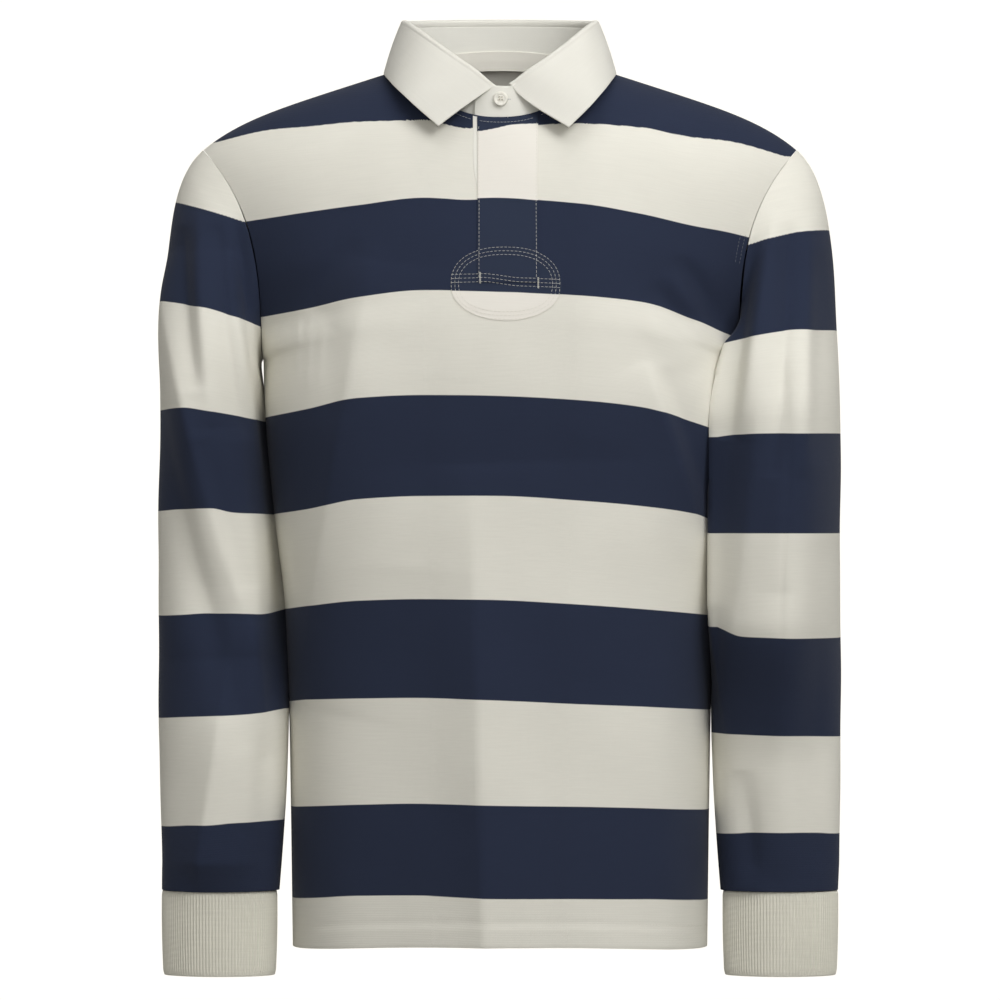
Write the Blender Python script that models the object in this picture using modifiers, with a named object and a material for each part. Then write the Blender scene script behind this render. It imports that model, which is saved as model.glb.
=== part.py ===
"""A long-sleeved striped polo shirt of the rugby kind, filled out and hollow, as it looks when worn.

The front, back and sleeves are knitted jersey, the cuffs are rib knit, and the collar is twill on a stand.
Each piece of cloth is an open surface worked out from the garment's sizes and given its wall by Solidify.

Frame: +Z up, the front faces -Y, +X is the wearer's left. The origin is at the height where the shirt
hangs on the shoulders, midway between the two sides of the neck. Sizes below are in millimetres.
"""

import math

import bmesh
import bpy
import numpy as np

MM = 0.001  # one millimetre in metres

# Cloth
JERSEY = 1.6  # wall of the knitted panels
TWILL = 1.5  # wall of the collar, stand and placket strips
TAPE = 1.0  # wall of the neck tape
SEAM = 0.3  # gap between two pieces at a seam
REST = 0.3  # gap between a piece and the panel that it lies on

# Neck and shoulders
NECK_HALF = 76.0  # half width of the neck seam
NECK_FRONT = 84.0  # the neck seam reaches this far forward
NECK_BACK = 62.0  # and this far back
NECK_SIDE_Z = -3.2
NECK_DROP = 44.0  # the front of the neck seam lies this far below its sides
NECK_RISE = 12.0  # and the back this far above them
SHOULDER_HALF = 236.0  # half width from shoulder point to shoulder point
SHOULDER_Z = -68.6
BACK_ROWS = (8, 15)  # rows of facets in the back, above the chest and below it
SHOULDER_FULLNESS = 0.32  # how much rounder than a plain curve the cloth leaves the shoulder seam

# Armhole: a tilted loop that leans in towards the body below the shoulder point
ARMHOLE_LOW_HALF = 187.6
ARMHOLE_LOW_Z = -235.0
ARMHOLE_DEPTH = 57.0  # half of its depth from front to back
ARMHOLE_LEAN = 3.2
ARMHOLE_GAP_TOP = 0.5  # the sleeve seam stands this far out at the shoulder point
ARMHOLE_GAP_LOW = 3.8  # and this far at the armpit, where the two walls turn to face each other


def columns(names, rows):
    """Turns a table's rows into one array for each named column."""
    return dict(zip(names.split(), np.array(rows, float).T))


# Rows across the body, from the chest to the hem. Outer faces of the cloth: height at the middle, height
# at the side, depth of the front and of the back, half width (the armhole sets it above the armpit), and
# how far the side is rounded (1 is a plain edge on the armhole, 2.6 turns fully into the side seam).
BODY = columns("z_mid z_side front back half round", (
    (-111, -139, -103, 106, 198, 1.00),
    (-150, -176, -113, 112, 190, 1.04),
    (-184, -209, -120, 115, 188, 1.25),
    (-211, -235, -123, 115, 189, 2.00),
    (-265, -286, -125, 112, 187, 2.60),
    (-345, -362, -122, 106, 180, 2.60),
    (-425, -436, -119, 104, 171.5, 2.60),
    (-503, -510, -118, 107, 168.5, 2.60),
    (-585, -593, -119, 113, 167, 2.60),
    (-657, -666, -120, 117, 166, 2.60),
    (-695, -702, -120, 118, 165.5, 2.60),
))

# Rings along a sleeve, from the armhole to the cuff seam. Outer faces: height and half width at the outer
# and at the inner side, the ring's centre and half depth from front to back, and its lean into the body.
SLEEVE = columns("z_out z_in x_out x_in y_mid y_half lean", (
    (-67, -235, 236.5, 190.2, 0, 57, 3.2),
    (-77, -237, 245.3, 190.8, 0, 60, 2.8),
    (-92, -241, 253.5, 191.3, -1, 63, 2.3),
    (-118, -247, 261, 191.2, -2, 67, 1.9),
    (-160, -257, 266, 190.4, -3, 70, 1.5),
    (-215, -274, 269, 189.4, -6, 72, 1.25),
    (-275, -300, 270.7, 187.8, -10, 70, 1.05),
    (-330, -336, 271.2, 184.6, -14, 64, 1.0),
    (-380, -380, 271.4, 179.6, -18, 57, 1.0),
    (-430, -430, 271.3, 173.8, -22, 51, 1.0),
    (-500, -500, 270.8, 170.6, -26, 45, 1.0),
    (-563, -563, 270.2, 170.2, -30, 40, 1.0),
    (-611, -611, 269.4, 171.6, -32, 35, 1.0),
    (-656.2, -656.2, 268.4, 175, -34, 30, 1.0),
))

# The cuffs: knitted in ribs along the arm
CUFF_TOP = -656.8
CUFF_END = -723.8
CUFF_RIBS = 56
RIB_RISE = 0.9  # the ribs stand this far out of the cuff's plain wall
CUFF_WALL = 1.4

# Main folds: where each starts and ends on the panel (sideways and height), how wide it is to each side,
# and how far the cloth moves there, out of the panel or into it.
FOLDS_FRONT = columns("x0 z0 x1 z1 width depth", (
    (-104, -212, -130, -352, 11, 4.5),
    (-128, -335, -158, -475, 10, 5.0),
    (-133, -225, -152, -370, 13, -5.0),
    (124, -262, 150, -352, 11, 3.5),
    (148, -340, 160, -430, 9, 3.5),
    (146, -250, 168, -340, 11, -4.0),
    (-42, -480, -46, -694, 24, -5.0),
    (14, -430, 26, -694, 30, 3.5),
    (104, -150, 160, -215, 12, -3.0),
    (92, -190, 150, -232, 10, 2.5),
))
FOLDS_BACK = columns("x0 z0 x1 z1 width depth", (
    (-70, -120, -165, -250, 15, -4.0),
    (82, -130, 168, -262, 15, -4.0),
    (-112, -230, -150, -430, 13, 4.0),
    (118, -250, 148, -400, 13, 4.0),
    (-30, -420, -48, -690, 26, -5.0),
    (40, -470, 34, -690, 24, 4.0),
    (96, -560, 104, -696, 20, -4.0),
))
# Folds of the sleeves, by the turn around the arm (0 outer side, 90 front, 180 inner side) and the height
FOLDS_LEFT_SLEEVE = columns("turn0 z0 turn1 z1 width depth", (
    (40, -250, 92, -400, 14, 3.5),
    (70, -330, 110, -560, 14, -4.5),
    (92, -430, 120, -600, 12, 4.0),
    (112, -575, 40, -655, 14, -3.0),
    (-60, -180, -120, -330, 16, -4.0),
    (-130, -420, -60, -560, 16, -4.0),
))
FOLDS_RIGHT_SLEEVE = columns("turn0 z0 turn1 z1 width depth", (
    (70, -190, 120, -330, 14, -4.0),
    (60, -300, 118, -480, 14, 3.5),
    (128, -380, 84, -560, 14, -4.5),
    (100, -540, 50, -650, 14, 3.0),
    (-70, -200, -125, -360, 16, -4.0),
    (-120, -450, -70, -590, 16, -4.0),
))

# Collar. The stand's top edge and the fold above it, then the leaf's free edge.
STAND_TOP_HALF = 72.5
STAND_TOP_FRONT = 79.5
STAND_TOP_BACK = 58.0
STAND_TOP_SIDE_Z = 30.5
STAND_TOP_DROP = 57.0
STAND_TOP_RISE = 6.0
STAND_INSET = 1.3  # the stand stands this far inside the neck edge of the panels
STAND_OVERLAP = 2.7  # the buttoned end of the stand lies this far outside the end below it
STAND_LIFT = 0.12  # and its foot this share of the stand's height above the panel's edge
STAND_UNDER_TURN = 13.0  # degrees past the middle, where the lower end stops
STAND_OVER_TURN = 15.0  # and the buttoned end
LEAF_LIFT = 0.8  # the leaf begins this far above the stand
LEAF_FOLD_RADIUS = 1.5
LEAF_SEAM_TO_FOLD = 2.0
LEAF_SLANT = 0.04  # how far the cloth in the fold already runs towards the points
# The leaf's free edge (inner face), from the left point round the back of the neck to the right point
LEAF_EDGE = columns("turn x y z", (
    (3, -47.0, -96, -53.0),
    (28, -70.0, -86, -35.0),
    (52, -85.0, -58, -18.5),
    (78, -91.2, -22, -8.0),
    (104, -89.5, 18, -2.5),
    (134, -74.0, 56, -2.5),
    (158, -42.0, 77, -4.0),
    (180, 0.0, 83, -4.5),
    (202, 42.0, 77, -4.0),
    (226, 74.0, 56, -2.5),
    (256, 89.5, 18, -2.5),
    (282, 91.2, -22, -8.0),
    (308, 85.5, -58, -19.0),
    (332, 73.0, -86, -36.0),
    (356, 54.5, -96, -54.0),
))

LEAF_START = math.radians(3)  # the leaf begins and ends this far from the middle of the front
NECK_STEP = math.radians(10)

# Placket
SLIT_HALF = 0.4
SLIT_X = 6.0
STRIP_LEFT = -17.6
STRIP_RIGHT = 29.5
STRIP_TOP = -49.0
STRIP_FOOT = -178.0
STRIP_WALL = 1.2
UNDER_PEEK = 3.2  # the lower strip shows this far beside the upper one
UNDER_WALL = 1.0
UNDER_FOOT = -145.0
PATCH_X = 4.6
PATCH_Z = -178.0
PATCH_HALF_WIDTH = 42.0
PATCH_HALF_HEIGHT = 30.0

# Button, neck tape and facing
BUTTON_RADIUS = 5.75
BUTTON_THICK = 2.4
BUTTON_HOLE = 0.8
BUTTON_HOLE_STEP = 1.5
BUTTON_X = -0.9
BUTTON_TURN = 0.45  # how far up the stand the button sits
TAPE_WIDTH = 14.7
TAPE_ABOVE = 2.0  # the tape starts this far above the neck seam
TAPE_SAG = 0.15  # room for the facets of the tape and the stand

# Half-moon facing inside the back, below the tape
FACING_HALF = 46.0
FACING_TOP = 0.05  # level on the back panel, just below the neck seam
FACING_DROP = 0.6  # how far its lowest point reaches, as a level on the back panel
FACING_WALL = 1.0
FACING_REST = 0.8  # its gap to the panel, which leaves room where the facets meet

CREAM = (0.76, 0.73, 0.63, 1.0)
NAVY = (0.024, 0.033, 0.065, 1.0)
SHELL = (0.85, 0.83, 0.76, 1.0)


# ---------------------------------------------------------------- formulas

def smooth(at, keys, values):
    """A curve through a table's values: cubic pieces whose slopes never overshoot."""
    keys, values = (keys, values) if keys[0] < keys[-1] else (keys[::-1], values[::-1])
    step = np.diff(keys)
    rate = np.diff(values) / step
    same_way = rate[:-1] * rate[1:] > 0
    safe = np.where(same_way, rate[:-1] + rate[1:], 1.0)
    inner = np.where(same_way, 2 * rate[:-1] * rate[1:] / safe, 0.0)
    slope = np.concatenate((rate[:1], inner, rate[-1:]))
    at = np.clip(at, keys[0], keys[-1])
    i = np.clip(np.searchsorted(keys, at, side="right") - 1, 0, len(step) - 1)
    t = (at - keys[i]) / step[i]
    return hermite(t, values[i], slope[i] * step[i], values[i + 1], slope[i + 1] * step[i])


def hermite(t, start, start_slope, end, end_slope):
    """The cubic that leaves start and reaches end with the two slopes given."""
    return (
        (1 + 2 * t) * (1 - t) ** 2 * start
        + t * (1 - t) ** 2 * start_slope
        + t * t * (3 - 2 * t) * end
        + t * t * (t - 1) * end_slope
    )


def points(x, y, z):
    return np.stack(np.broadcast_arrays(x, y, z), axis=-1)


def unit(vectors):
    return vectors / np.linalg.norm(vectors, axis=-1, keepdims=True)


def folds(table, across, height, across_keys=("x0", "x1")):
    """The sum of all folds: each is a soft bump beside a straight line, fading out at its two ends."""
    across_start, across_end = across_keys
    moved = np.zeros(np.broadcast(across, height).shape)
    for i in range(len(table["depth"])):
        start = np.array((table[across_start][i], table["z0"][i]))
        run = np.array((table[across_end][i], table["z1"][i])) - start
        length = np.hypot(*run)
        along = ((across - start[0]) * run[0] + (height - start[1]) * run[1]) / length**2
        beside = ((across - start[0]) * run[1] - (height - start[1]) * run[0]) / length
        fade = np.clip(4 * along * (1 - along), 0, 1) ** 0.7
        moved += table["depth"][i] * fade * np.exp(-((beside / table["width"][i]) ** 2))
    return moved


# ---------------------------------------------------------------- body

def armhole(turn):
    """The armhole loop on one side, at a turn in radians from the shoulder point: z and y follow an
    ellipse, and x falls from the shoulder point to the armpit by a power of the height."""
    rise = (1 + np.cos(turn)) / 2
    x = ARMHOLE_LOW_HALF + (SHOULDER_HALF - ARMHOLE_LOW_HALF) * rise**ARMHOLE_LEAN
    z = ARMHOLE_LOW_Z + (SHOULDER_Z - ARMHOLE_LOW_Z) * rise
    return x, ARMHOLE_DEPTH * np.sin(turn), z


def armhole_turn(z):
    """The turn at which the armhole passes a height."""
    rise = (z - ARMHOLE_LOW_Z) / (SHOULDER_Z - ARMHOLE_LOW_Z)
    return np.arccos(np.clip(2 * rise - 1, -1, 1))


def neck(turn, inset=0.0):
    """The neck seam at a turn in radians from the middle of the front: half an ellipse before the
    shoulders and a flatter half behind them. It falls in front by a power of the distance from the
    middle, and rises behind."""
    cos = np.cos(turn)
    behind = np.clip(-cos, 0, 1)
    x = (NECK_HALF - inset) * np.sin(turn)
    y = (NECK_BACK - inset) * behind**0.9 - (NECK_FRONT - inset) * np.clip(cos, 0, 1)
    fall = np.where(cos > 0, 1 - np.abs(np.sin(turn)) ** 1.5, 0)
    return points(x, y, NECK_SIDE_Z - NECK_DROP * fall + NECK_RISE * behind**1.8)


def body_top(side, across):
    """The upper edge of a panel: shoulder seam, neck seam, shoulder seam. Across runs from -1 to 1."""
    neck_share = NECK_HALF / SHOULDER_HALF
    out = np.abs(across)
    turn = np.arcsin(np.clip(out / neck_share, 0, 1))
    turn = np.where(side < 0, turn, math.pi - turn)
    at_neck = neck(turn * np.sign(across + 1e-12))
    fall = np.clip((out - neck_share) / (1 - neck_share), 0, 1)
    shoulder = points(
        SHOULDER_HALF * across,
        side * SEAM / 2,
        NECK_SIDE_Z + (SHOULDER_Z - NECK_SIDE_Z) * (0.785 * fall + 0.215 * fall**6),
    )
    return np.where((out < neck_share)[..., None], at_neck, shoulder)


def body_row(side, across, level):
    """A row across a panel at a level from 1, at the chest, to 2, at the hem: a rounded box from the
    middle to the side edge, which is the armhole or the side seam, drawn down towards the sides."""
    z_mid = BODY["z_mid"][0] + (level - 1) * (BODY["z_mid"][-1] - BODY["z_mid"][0])
    z_side = smooth(z_mid, BODY["z_mid"], BODY["z_side"])
    depth = side * (np.abs(smooth(z_mid, BODY["z_mid"], BODY["front" if side < 0 else "back"])) - JERSEY)
    above_armpit = z_side > ARMHOLE_LOW_Z
    edge_x, edge_y, _ = armhole(armhole_turn(z_side))
    edge_x = np.where(above_armpit, edge_x, smooth(z_mid, BODY["z_mid"], BODY["half"]) - JERSEY)
    edge_y = side * np.where(above_armpit, edge_y, 0) + side * SEAM / 2
    rounding = smooth(z_mid, BODY["z_mid"], BODY["round"])
    out = np.clip(np.abs(across), 0, 1)
    crown = np.clip(1 - out**2.6, 0, 1) ** (1 / rounding)
    return points(
        edge_x * across,
        edge_y + (depth - edge_y) * crown,
        z_mid + (z_side - z_mid) * out**2.2,
    )


def shoulder_patch(side, across, s):
    """The upper part of a panel, a cubic from the neck and shoulder seam (s = 0) to the chest (s = 1)."""
    across = across + 0 * s
    top = body_top(side, across)
    chest = body_row(side, across, 1.0 + 0 * s)
    down = unit(body_row(side, across, 1.002 + 0 * s) - chest)
    reach = np.linalg.norm(chest - top, axis=-1, keepdims=True)
    nearness = np.clip(1 - (across[..., None] * SHOULDER_HALF / NECK_HALF) ** 2, 0, 1) ** 0.8
    from_shoulder = np.array((0, side * 0.99, -0.1))
    from_neck = np.array((0, -0.36, -0.93)) if side < 0 else np.array((0, 0.45, -0.89))
    away = from_shoulder + nearness * (from_neck - from_shoulder)
    reach = reach * (1 + SHOULDER_FULLNESS * (1 - nearness))
    return hermite(s[..., None], top, away * reach, chest, down * reach)


def body(side, across, level):
    """The inner face of the front (side -1) or back (side 1) panel. Levels 0 to 1 run from the neck and
    shoulder seam to the chest, where the side edges are bent onto the armhole, and levels 1 to 2 run
    from there to the hem. The folds move it in or out, least at its edges."""
    across, level = np.broadcast_arrays(np.asarray(across, float), np.asarray(level, float))
    s = np.clip(level, 0, 1)
    high = shoulder_patch(side, across, s)
    x, y, z = armhole(armhole_turn(BODY["z_side"][0]) * s)
    miss = points(x, side * (y + SEAM / 2), z) - shoulder_patch(side, 1.0 + 0 * s, s)
    miss = miss * points(np.where(across < 0, -1, 1), 1, 1)
    high = high + np.abs(across[..., None]) ** 6 * miss
    low = body_row(side, across, np.maximum(level, 1.0))
    surface = np.where((level < 1)[..., None], high, low)
    moved = folds(FOLDS_FRONT if side < 0 else FOLDS_BACK, surface[..., 0], surface[..., 2])
    hold = 1 - np.abs(across) ** 10
    return surface + points(0 * moved, side * moved * hold, 0 * moved)


def body_grid(side, rows_above, rows_below):
    """Samples a panel: even steps round the neck, and steps that shorten towards the side seam."""
    neck_share = NECK_HALF / SHOULDER_HALF
    neck_steps = neck_share * np.sin(np.linspace(0, math.pi / 2, 6))
    side_steps = neck_share + (1 - neck_share) * np.sin(np.linspace(0, math.pi / 2, 10))[1:]
    half = np.concatenate((neck_steps[1:], side_steps))
    if side < 0:
        middle = np.array((-9, SLIT_X - SLIT_HALF, SLIT_X + SLIT_HALF, 15)) / SHOULDER_HALF
    else:
        middle = (0,)
    across = np.concatenate((-half[::-1], middle, half))
    level = np.concatenate((
        np.linspace(0, 1, rows_above + 1),
        np.linspace(1, 2, rows_below + 1)[1:],
    ))
    return across, level, body(side, across[None, :], level[:, None])


def on_front(x, z):
    """The front panel's inner face and outward direction at a place seen from the front, found by
    stepping down the panel near its middle."""
    level = np.linspace(0, 1.4, 141)
    nearby = body(-1, np.array((-0.1, 0.0, 0.1))[None, :], level[:, None])
    width = (nearby[:, 2, 0] - nearby[:, 0, 0]) / 0.2
    at = np.interp(-z, -nearby[:, 1, 2], level)
    across = x / np.interp(at, level, width)
    here = body(-1, across, at)
    right = body(-1, across + 0.004, at)
    below = body(-1, across, at + 0.004)
    return here, unit(np.cross(right - here, here - below))


# ---------------------------------------------------------------- meshes

def material(name, colour, roughness):
    made = bpy.data.materials.new(name)
    made.use_nodes = True
    shader = made.node_tree.nodes["Principled BSDF"]
    shader.inputs["Base Color"].default_value = colour
    shader.inputs["Roughness"].default_value = roughness
    shader.inputs["Metallic"].default_value = 0.0
    return made


def add_object(name, mesh, colour, roughness):
    mesh.materials.append(material(name, colour, roughness))
    made = bpy.data.objects.new(name, mesh)
    bpy.data.collections["polo_shirt"].objects.link(made)
    mesh.shade_smooth()
    mesh.set_sharp_from_angle(angle=math.radians(35))
    return made


def grid_mesh(name, grid, closed_across=False, leave_out=()):
    """A mesh of a grid of points in millimetres. Its faces point out when the columns run to the right
    and the rows run down, seen from outside."""
    rows, across = grid.shape[:2]
    index = np.arange(rows * across).reshape(rows, across)
    if closed_across:
        index = np.concatenate((index, index[:, :1]), axis=1)
    faces = []
    for r in range(rows - 1):
        for c in range(index.shape[1] - 1):
            if (r, c) not in leave_out:
                faces.append((index[r, c], index[r + 1, c], index[r + 1, c + 1], index[r, c + 1]))
    mesh = bpy.data.meshes.new(name)
    mesh.from_pydata((grid.reshape(-1, 3) * MM).tolist(), [], [[int(i) for i in f] for f in faces])
    return mesh


def cloth(name, grid, wall, colour, closed_across=False, leave_out=()):
    """A piece of cloth: its inner face is the grid, and Solidify adds the wall outside it."""
    made = add_object(name, grid_mesh(name, grid, closed_across, leave_out), colour, 0.85)
    solid = made.modifiers.new("wall", "SOLIDIFY")
    solid.thickness = wall * MM
    solid.offset = 1.0
    solid.use_even_offset = False
    return made


# ---------------------------------------------------------------- pieces

def add_front():
    across, level, grid = body_grid(-1, 9, 16)
    slit_column = int(np.searchsorted(across, SLIT_X / SHOULDER_HALF)) - 1
    slit_foot = STRIP_FOOT + 14
    slit = [(r, slit_column) for r in range(len(level) - 1) if grid[r + 1, slit_column, 2] > slit_foot]
    cloth("front", grid, JERSEY, NAVY, leave_out=set(slit))


def add_back():
    grid = body_grid(1, *BACK_ROWS)[2]
    cloth("back", grid[:, ::-1], JERSEY, NAVY)


def sleeve(side, turn, length):
    """A sleeve's inner face at a turn round the arm in radians (0 on the outer side, a quarter turn in
    front) and at a length from 0, at the armhole, to 1, at the cuff seam. Each ring is an ellipse seen
    from above that is drawn down on its inner side, and leans into the body near the armhole."""
    at = length * (len(SLEEVE["lean"]) - 1)
    keys = np.arange(len(SLEEVE["lean"]), dtype=float)
    z_out, z_in, x_out, x_in, y_mid, y_half, lean = (smooth(at, keys, SLEEVE[k]) for k in SLEEVE)
    rise = (1 + np.cos(turn)) / 2
    x_out = x_out - JERSEY
    x_in = x_in + JERSEY
    x = x_in + (x_out - x_in) * rise**lean
    y = y_mid - (y_half - JERSEY) * np.sin(turn)
    z = z_in + (z_out - z_in) * rise
    formula = points(x, y, z)
    loop_x, loop_y, loop_z = armhole(turn)
    gap = ARMHOLE_GAP_TOP + (ARMHOLE_GAP_LOW - ARMHOLE_GAP_TOP) * (1 - rise)
    seam = points(loop_x + gap, -loop_y, loop_z)
    first = points(
        SLEEVE["x_in"][0] + JERSEY
        + (SLEEVE["x_out"][0] - SLEEVE["x_in"][0] - 2 * JERSEY) * rise ** SLEEVE["lean"][0],
        SLEEVE["y_mid"][0] - (SLEEVE["y_half"][0] - JERSEY) * np.sin(turn),
        SLEEVE["z_in"][0] + (SLEEVE["z_out"][0] - SLEEVE["z_in"][0]) * rise,
    )
    fade = np.clip(1 - at / 3, 0, 1)[..., None] ** 2
    surface = formula + fade * (seam - first)
    table = FOLDS_LEFT_SLEEVE if side < 0 else FOLDS_RIGHT_SLEEVE
    degrees = (np.degrees(turn) + 180) % 360 - 180
    moved = folds(table, degrees * 0.9, surface[..., 2], ("turn0", "turn1"))
    clear = np.clip(at / 3, 0, 1) * np.clip((len(keys) - 1 - at) / 1.5, 0, 1)
    clear = clear * np.clip(1 + np.cos(turn) * 1.4 + 0.25, 0, 1)
    centre = points((x_out + x_in) / 2 + 0 * turn, y_mid + 0 * turn, surface[..., 2])
    away = unit(surface - centre)
    surface = surface + away * (moved * clear)[..., None]
    return surface * np.array((side, 1, 1))


def add_sleeve(name, side):
    """Rings from the armhole to the cuff seam, closer together at the cap."""
    turn = -side * np.linspace(0, 2 * math.pi, 25)[:-1]
    length = np.concatenate((np.linspace(0, 0.42, 12), np.linspace(0.42, 1, 13)[1:]))
    grid = sleeve(side, turn[None, :], length[:, None])
    cloth(name, grid, JERSEY, NAVY, closed_across=True)


def add_cuff(name, side):
    """A ribbed tube: its outer points rise and fall around the arm over a plain inner wall."""
    turn = -side * np.linspace(0, 2 * math.pi, 2 * CUFF_RIBS + 1)[:-1]
    last = {key: SLEEVE[key][-1] for key in SLEEVE}
    rib = np.where(np.arange(len(turn)) % 2 == 0, RIB_RISE, 0.0)

    def ring(z, out, narrow):
        x_mid = (last["x_out"] + last["x_in"]) / 2 + 0.9
        half = (last["x_out"] - last["x_in"]) / 2 - narrow
        deep = last["y_half"] - narrow * 1.6
        return points(
            side * (x_mid + (half + out) * np.cos(turn)),
            last["y_mid"] - (deep + out) * np.sin(turn),
            z + 0 * turn,
        )

    plain = -RIB_RISE
    outside = [
        ring(CUFF_TOP, plain, 0.8),
        ring(CUFF_TOP - 2.5, plain + rib, 1.2),
        ring(CUFF_END + 2.0, plain + rib, 2.0),
        ring(CUFF_END, plain - 0.2 + 0 * rib, 2.0),
    ]
    inside = [
        ring(CUFF_END, plain - CUFF_WALL, 2.0),
        ring(CUFF_TOP, plain - CUFF_WALL, 0.8),
    ]
    grid = np.stack(outside + inside + outside[:1])
    mesh = grid_mesh(name, grid, closed_across=True)
    weld = bmesh.new()
    weld.from_mesh(mesh)
    bmesh.ops.remove_doubles(weld, verts=weld.verts, dist=0.00001)
    weld.to_mesh(mesh)
    weld.free()
    add_object(name, mesh, CREAM, 0.9)


def stand(turn, rise, outside=0.0):
    """The stand's inner face at a turn in radians from the middle of the front, going left, and a rise
    from 0 at the neck seam to 1 at its top edge. Seen from the front that edge falls in straight lines
    to the middle, and stays level in the two overlapping ends past it."""
    cos = np.cos(turn)
    behind = np.clip(-cos, 0, 1)
    within = np.where((turn > 0) & (turn < 2 * math.pi), np.abs(np.sin(turn)), 0)
    fall = np.where(cos > 0, 1 - within, 0)
    top = points(
        -(STAND_TOP_HALF + outside) * np.sin(turn),
        (STAND_TOP_BACK + outside) * behind**0.9 - (STAND_TOP_FRONT + outside) * np.clip(cos, 0, 1),
        STAND_TOP_SIDE_Z - STAND_TOP_DROP * fall + STAND_TOP_RISE * behind**1.8,
    )
    foot = neck(-turn, TWILL + STAND_INSET - outside)
    return foot + rise[..., None] * (top - foot)


def collar_turns():
    """The turns at which the stand and the leaf have their points, closer together in front."""
    end = LEAF_START + 2 * NECK_STEP
    close = np.linspace(LEAF_START, end, 4)[:-1]
    even = np.linspace(end, 2 * math.pi - end, 33)
    return np.concatenate((close, even, 2 * math.pi - close[::-1]))


def add_stand():
    """One strip round the neck, whose buttoned end lies over the other end in front."""
    under = math.radians(STAND_UNDER_TURN)
    over = math.radians(STAND_OVER_TURN)
    turn = np.concatenate((
        np.linspace(-under, 0, 4),
        collar_turns(),
        np.linspace(2 * math.pi, 2 * math.pi + over, 4),
    ))
    rise = np.linspace(1, 0, 4)
    past = (turn - 2 * math.pi) / under
    lap = STAND_OVERLAP * np.clip((past + 2.6) / 1.4, 0, 1)
    lifted = STAND_LIFT * np.clip((past + 4.6) / 1.4, 0, 1)
    grid = stand(turn[None, :], lifted + rise[:, None] * (1 - lifted), lap[None, :])
    cloth("collar_stand", grid[:, ::-1], TWILL, CREAM)


def add_leaf():
    """Up from the stand's top edge, over the fold and down to the free edge."""
    turn = collar_turns()
    top = stand(turn, np.ones_like(turn))
    ahead = stand(turn + 0.01, np.ones_like(turn)) - top
    outward = unit(points(-ahead[:, 1], ahead[:, 0], 0 * turn))
    up = np.array((0, 0, 1.0))
    base = top + outward * TWILL + up * LEAF_LIFT
    crest = base + up * LEAF_SEAM_TO_FOLD
    centre = crest + outward * LEAF_FOLD_RADIUS
    edge = points(*(smooth(np.degrees(turn), LEAF_EDGE["turn"], LEAF_EDGE[k]) for k in "xyz"))
    along = unit(ahead * np.array((1, 1, 0)))
    sideways = along * np.sum((edge - centre) * along, axis=-1, keepdims=True)
    lines = [base]
    for share in (0, 0.25, 0.5, 0.75, 1.0):
        angle = math.pi * (1 - share)
        bend = LEAF_FOLD_RADIUS * (outward * math.cos(angle) + up * math.sin(angle))
        lines.append(centre + bend + LEAF_SLANT * share**2 * sideways)
    start = lines[-1]
    fall = np.linalg.norm(edge - start, axis=-1, keepdims=True)
    for s in (0.12, 0.3, 0.5, 0.75, 1.0):
        bulge = 0.16 * fall * math.sin(math.pi * s) ** 0.8
        lines.append(start + s * (edge - start) + outward * bulge * 0.3 + up * bulge * 0.2)
    grid = np.stack(lines)
    cloth("collar_leaf", grid[:, ::-1], TWILL, CREAM)


def strip_grid(x0, x1, z0, z1, columns_across, rows_down, away):
    """Points over the front panel between two sides and two heights, moved out of it by a distance."""
    x = np.linspace(x0, x1, columns_across)[None, :]
    z = np.linspace(z0, z1, rows_down)[:, None]
    x, z = np.broadcast_arrays(x, z)
    here, out = on_front(x, z)
    return here + out * away


def add_placket():
    """The lower strip and the oval patch lie on the panel over the slit, and the upper strip on both."""
    on_panel = REST + JERSEY
    on_both = on_panel + UNDER_WALL + REST
    under = strip_grid(STRIP_LEFT - UNDER_PEEK, STRIP_RIGHT - 6, STRIP_TOP - 1, UNDER_FOOT, 6, 11, on_panel)
    cloth("placket_under", under, UNDER_WALL, CREAM)
    top = strip_grid(STRIP_LEFT, STRIP_RIGHT, STRIP_TOP, STRIP_FOOT, 6, 14, on_both)
    cloth("placket_top", top, STRIP_WALL, NAVY)
    turn = np.linspace(0, 2 * math.pi, 29)[:-1]
    rings = []
    for r in (1.0, 0.62, 0.25):
        x = PATCH_X + r * PATCH_HALF_WIDTH * np.cos(turn)
        z = PATCH_Z + r * PATCH_HALF_HEIGHT * np.sin(turn)
        here, out = on_front(x[None, :], z[None, :])
        rings.append((here + out * on_panel)[0])
    mesh = grid_mesh("placket_patch", np.stack(rings)[:, ::-1], closed_across=True)
    fill = bmesh.new()
    fill.from_mesh(mesh)
    bmesh.ops.holes_fill(fill, edges=[e for e in fill.edges if e.is_boundary and inner_edge(e)])
    fill.to_mesh(mesh)
    fill.free()
    patch = add_object("placket_patch", mesh, NAVY, 0.85)
    solid = patch.modifiers.new("wall", "SOLIDIFY")
    solid.thickness = UNDER_WALL * MM
    solid.offset = 1.0


def inner_edge(edge):
    """Whether an edge of the patch lies on its innermost ring."""
    limit = 0.5 * PATCH_HALF_WIDTH * MM
    return all(abs(v.co.x - PATCH_X * MM) < limit and abs(v.co.z - PATCH_Z * MM) < limit for v in edge.verts)


def add_tape():
    """A strip inside the back of the neck, over the foot of the stand and the seam below it."""
    turn = np.linspace(math.radians(100), math.radians(260), 25)
    stand_foot = TWILL + STAND_INSET
    inside = neck(-turn, stand_foot + REST + TAPE_SAG + TAPE)
    rows = [inside + np.array((0, 0, TAPE_ABOVE - TAPE_WIDTH * share)) for share in (0.0, 0.5, 1.0)]
    cloth("neck_tape", np.stack(rows)[:, ::-1], TAPE, CREAM)


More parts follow.
